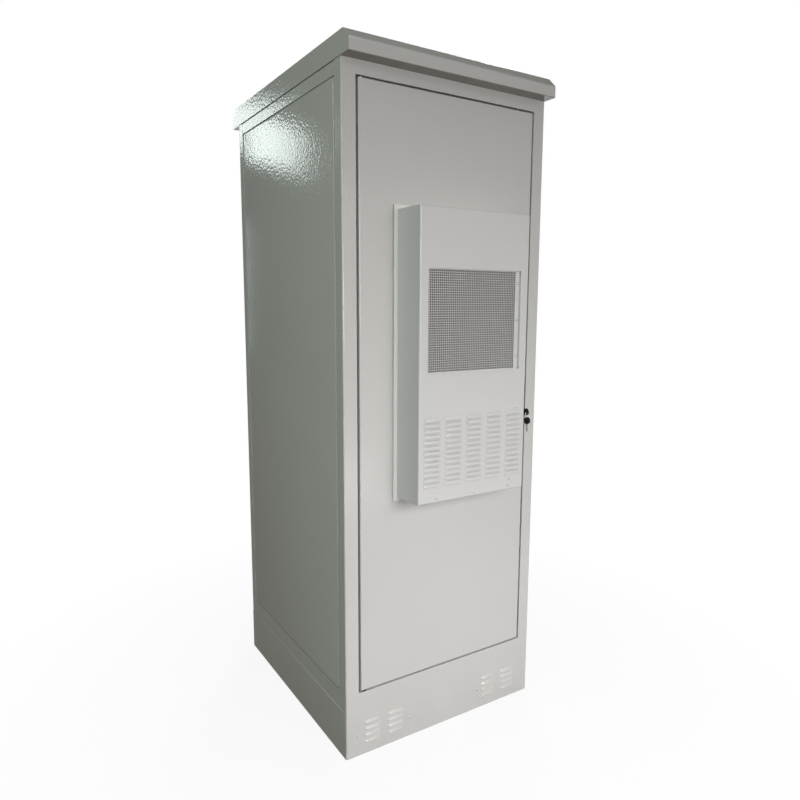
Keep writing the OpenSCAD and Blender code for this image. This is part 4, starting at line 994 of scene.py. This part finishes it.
def make_floor():
    clear_selection()
    bpy.ops.mesh.primitive_plane_add(size=40)
    floor = bpy.context.object
    floor.name = "floor"
    material = bpy.data.materials.new("floor")
    material.use_nodes = True
    tree = material.node_tree
    tree.nodes.remove(tree.nodes["Principled BSDF"])
    plain = add_node(tree, "BsdfDiffuse")
    seen = add_node(tree, "LightPath").outputs["Is Camera Ray"]
    tree.links.new(spread(tree, seen, 0.0, 1.0, FLOOR_BOUNCE, FLOOR_SEEN), plain.inputs["Color"])
    white = add_node(tree, "Emission")
    length = add_node(tree, "VectorMath", operation="LENGTH")
    tree.links.new(add_node(tree, "TexCoord").outputs["Object"], length.inputs[0])
    far = spread(tree, length.outputs["Value"], FADE_FROM, FADE_TO, FADE_NEAR, 1.0)
    blend = add_node(tree, "MixShader")
    tree.links.new(maths(tree, "MULTIPLY", far, seen_rays(tree)), blend.inputs[0])
    tree.links.new(plain.outputs[0], blend.inputs[1])
    tree.links.new(white.outputs[0], blend.inputs[2])
    tree.links.new(blend.outputs[0], tree.nodes["Material Output"].inputs["Surface"])
    floor.data.materials.append(material)
    floor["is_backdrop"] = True


def make_world(ambient):
    world = bpy.context.scene.world or bpy.data.worlds.new("studio")
    bpy.context.scene.world = world
    world.use_nodes = True
    tree = world.node_tree
    back = tree.nodes["Background"]
    back.inputs["Strength"].default_value = 1.0
    tone = add_node(tree, "Mix", data_type="RGBA")
    tree.links.new(seen_rays(tree), tone.inputs["Factor"])
    tone.inputs["A"].default_value = ambient
    tone.inputs["B"].default_value = (1, 1, 1, 1)
    tree.links.new(tone.outputs["Result"], back.inputs["Color"])


make_floor()
make_world(AMBIENT)
print("floor and world ready")

# %% [markdown]
# Six soft lamps light the cabinet. The main one stands in front and aims low, so the door is
# brightest near the ground as in the picture. A weaker one to its left and a dim one near the floor
# help it. One on the left lights the side panel. A small one stands behind on the left, where the
# glossy panel mirrors it near its top, and one behind on the right lights the back and the roof.
# Three dark cards, which only reflections see, keep the gloss from mirroring the white room.

# %% Lamps and cards
WARM, COOL = (1.0, 0.97, 0.945), (0.94, 0.96, 1.0)
LEFT_GREEN, WINDOW_GREEN = (0.86, 1.0, 0.88), (0.9, 1.0, 0.96)
REAR_WARM = (1.0, 0.99, 0.97)


def soft_lamp(name, place, target, size, power, tint, cone=180):
    """A rectangular lamp at a place, aimed at a target; cone is how wide its light spreads, in degrees."""
    data = bpy.data.lights.new(name, "AREA")
    data.shape = "RECTANGLE"
    data.size, data.size_y = size
    data.energy = power
    data.color = tint
    data.spread = math.radians(cone)
    lamp = bpy.data.objects.new(name, data)
    bpy.context.scene.collection.objects.link(lamp)
    lamp.location = place
    lamp.rotation_euler = (Vector(target) - Vector(place)).to_track_quat("-Z", "Y").to_euler()


def dark_card(name, low, high, tone):
    """A plain card that only reflections see, as a photographer's black flag."""
    card = block(name, low, high)
    material = bpy.data.materials.new(name)
    material.use_nodes = True
    tree = material.node_tree
    tree.nodes.remove(tree.nodes["Principled BSDF"])
    glow = add_node(tree, "Emission")
    glow.inputs["Color"].default_value = tone
    tree.links.new(glow.outputs[0], tree.nodes["Material Output"].inputs["Surface"])
    card.data.materials.append(material)
    card.visible_camera = False
    card.visible_diffuse = False
    card.visible_shadow = False
    card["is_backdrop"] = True


soft_lamp("front_low", (-0.05, -3.0, 1.6), (0.05, -0.4, -0.1), (1.6, 1.0), 21.3, WARM, 110)
soft_lamp("front_left", (-1.5, -3.6, 1.4), (-0.2, -0.4, 0.3), (1.2, 1.0), 6.6, WARM, 110)
soft_lamp("floor_fill", (0.1, -2.2, 0.3), (0.05, -0.39, 0.15), (1.2, 0.3), 1.45, COOL, 80)
soft_lamp("left_fill", (-3.2, -0.9, 2.6), (-0.35, 0.0, 0.9), (1.4, 1.4), 24.5, LEFT_GREEN)
soft_lamp("rear_window", (-1.34, 3.22, 2.7), (-0.35, 0.1, 1.84), (0.9, 0.36), 4.0, WINDOW_GREEN)
soft_lamp("rear_fill", (2.3, 3.0, 3.5), (0.1, 0.2, 1.2), (1.6, 1.6), 38, REAR_WARM, 110)
dark_card("left_card", (-3.6, -2.0, 0.02), (-3.5, 18.0, 7.0), (0.12, 0.135, 0.115, 1))
dark_card("left_cloth", (-3.5, -1.2, 0.001), (-0.3505, 18.0, 0.002), (0.16, 0.145, 0.12, 1))
dark_card("ceiling_card", (-3.5, -0.6, 4.0), (6.0, 18.0, 4.1), (0.13, 0.135, 0.125, 1))

# %% [markdown]
# ## The camera
# The viewpoint was solved from the corners of the cabinet in the picture: about two and a third
# metres from the front corner at chest height, looking slightly down, with a wide lens.

# %% Camera
SENSOR_WIDTH, LENS = 36.0, 29.580
CAMERA_PLACE = (-1.15344, -1.95448, 1.31856)
CAMERA_TURN = (81.8086, -0.2201, -32.1260)
camera_data = bpy.data.cameras.new("camera")
camera_data.sensor_width = SENSOR_WIDTH
camera_data.lens = LENS
camera = bpy.data.objects.new("camera", camera_data)
bpy.context.scene.collection.objects.link(camera)
camera.location = CAMERA_PLACE
camera.rotation_euler = [math.radians(v) for v in CAMERA_TURN]
bpy.context.scene.camera = camera
bpy.context.scene.view_settings.view_transform = "Standard"
print("camera at", [round(v, 3) for v in camera.location])

# %% [markdown]
# ## The sizes
# The dressed model must stay in the drawing's box, so its visual box is printed.

# %% Sizes
bpy.context.view_layer.update()
low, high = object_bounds()
print("visual box", [round(v, 4) for v in low], [round(v, 4) for v in high])
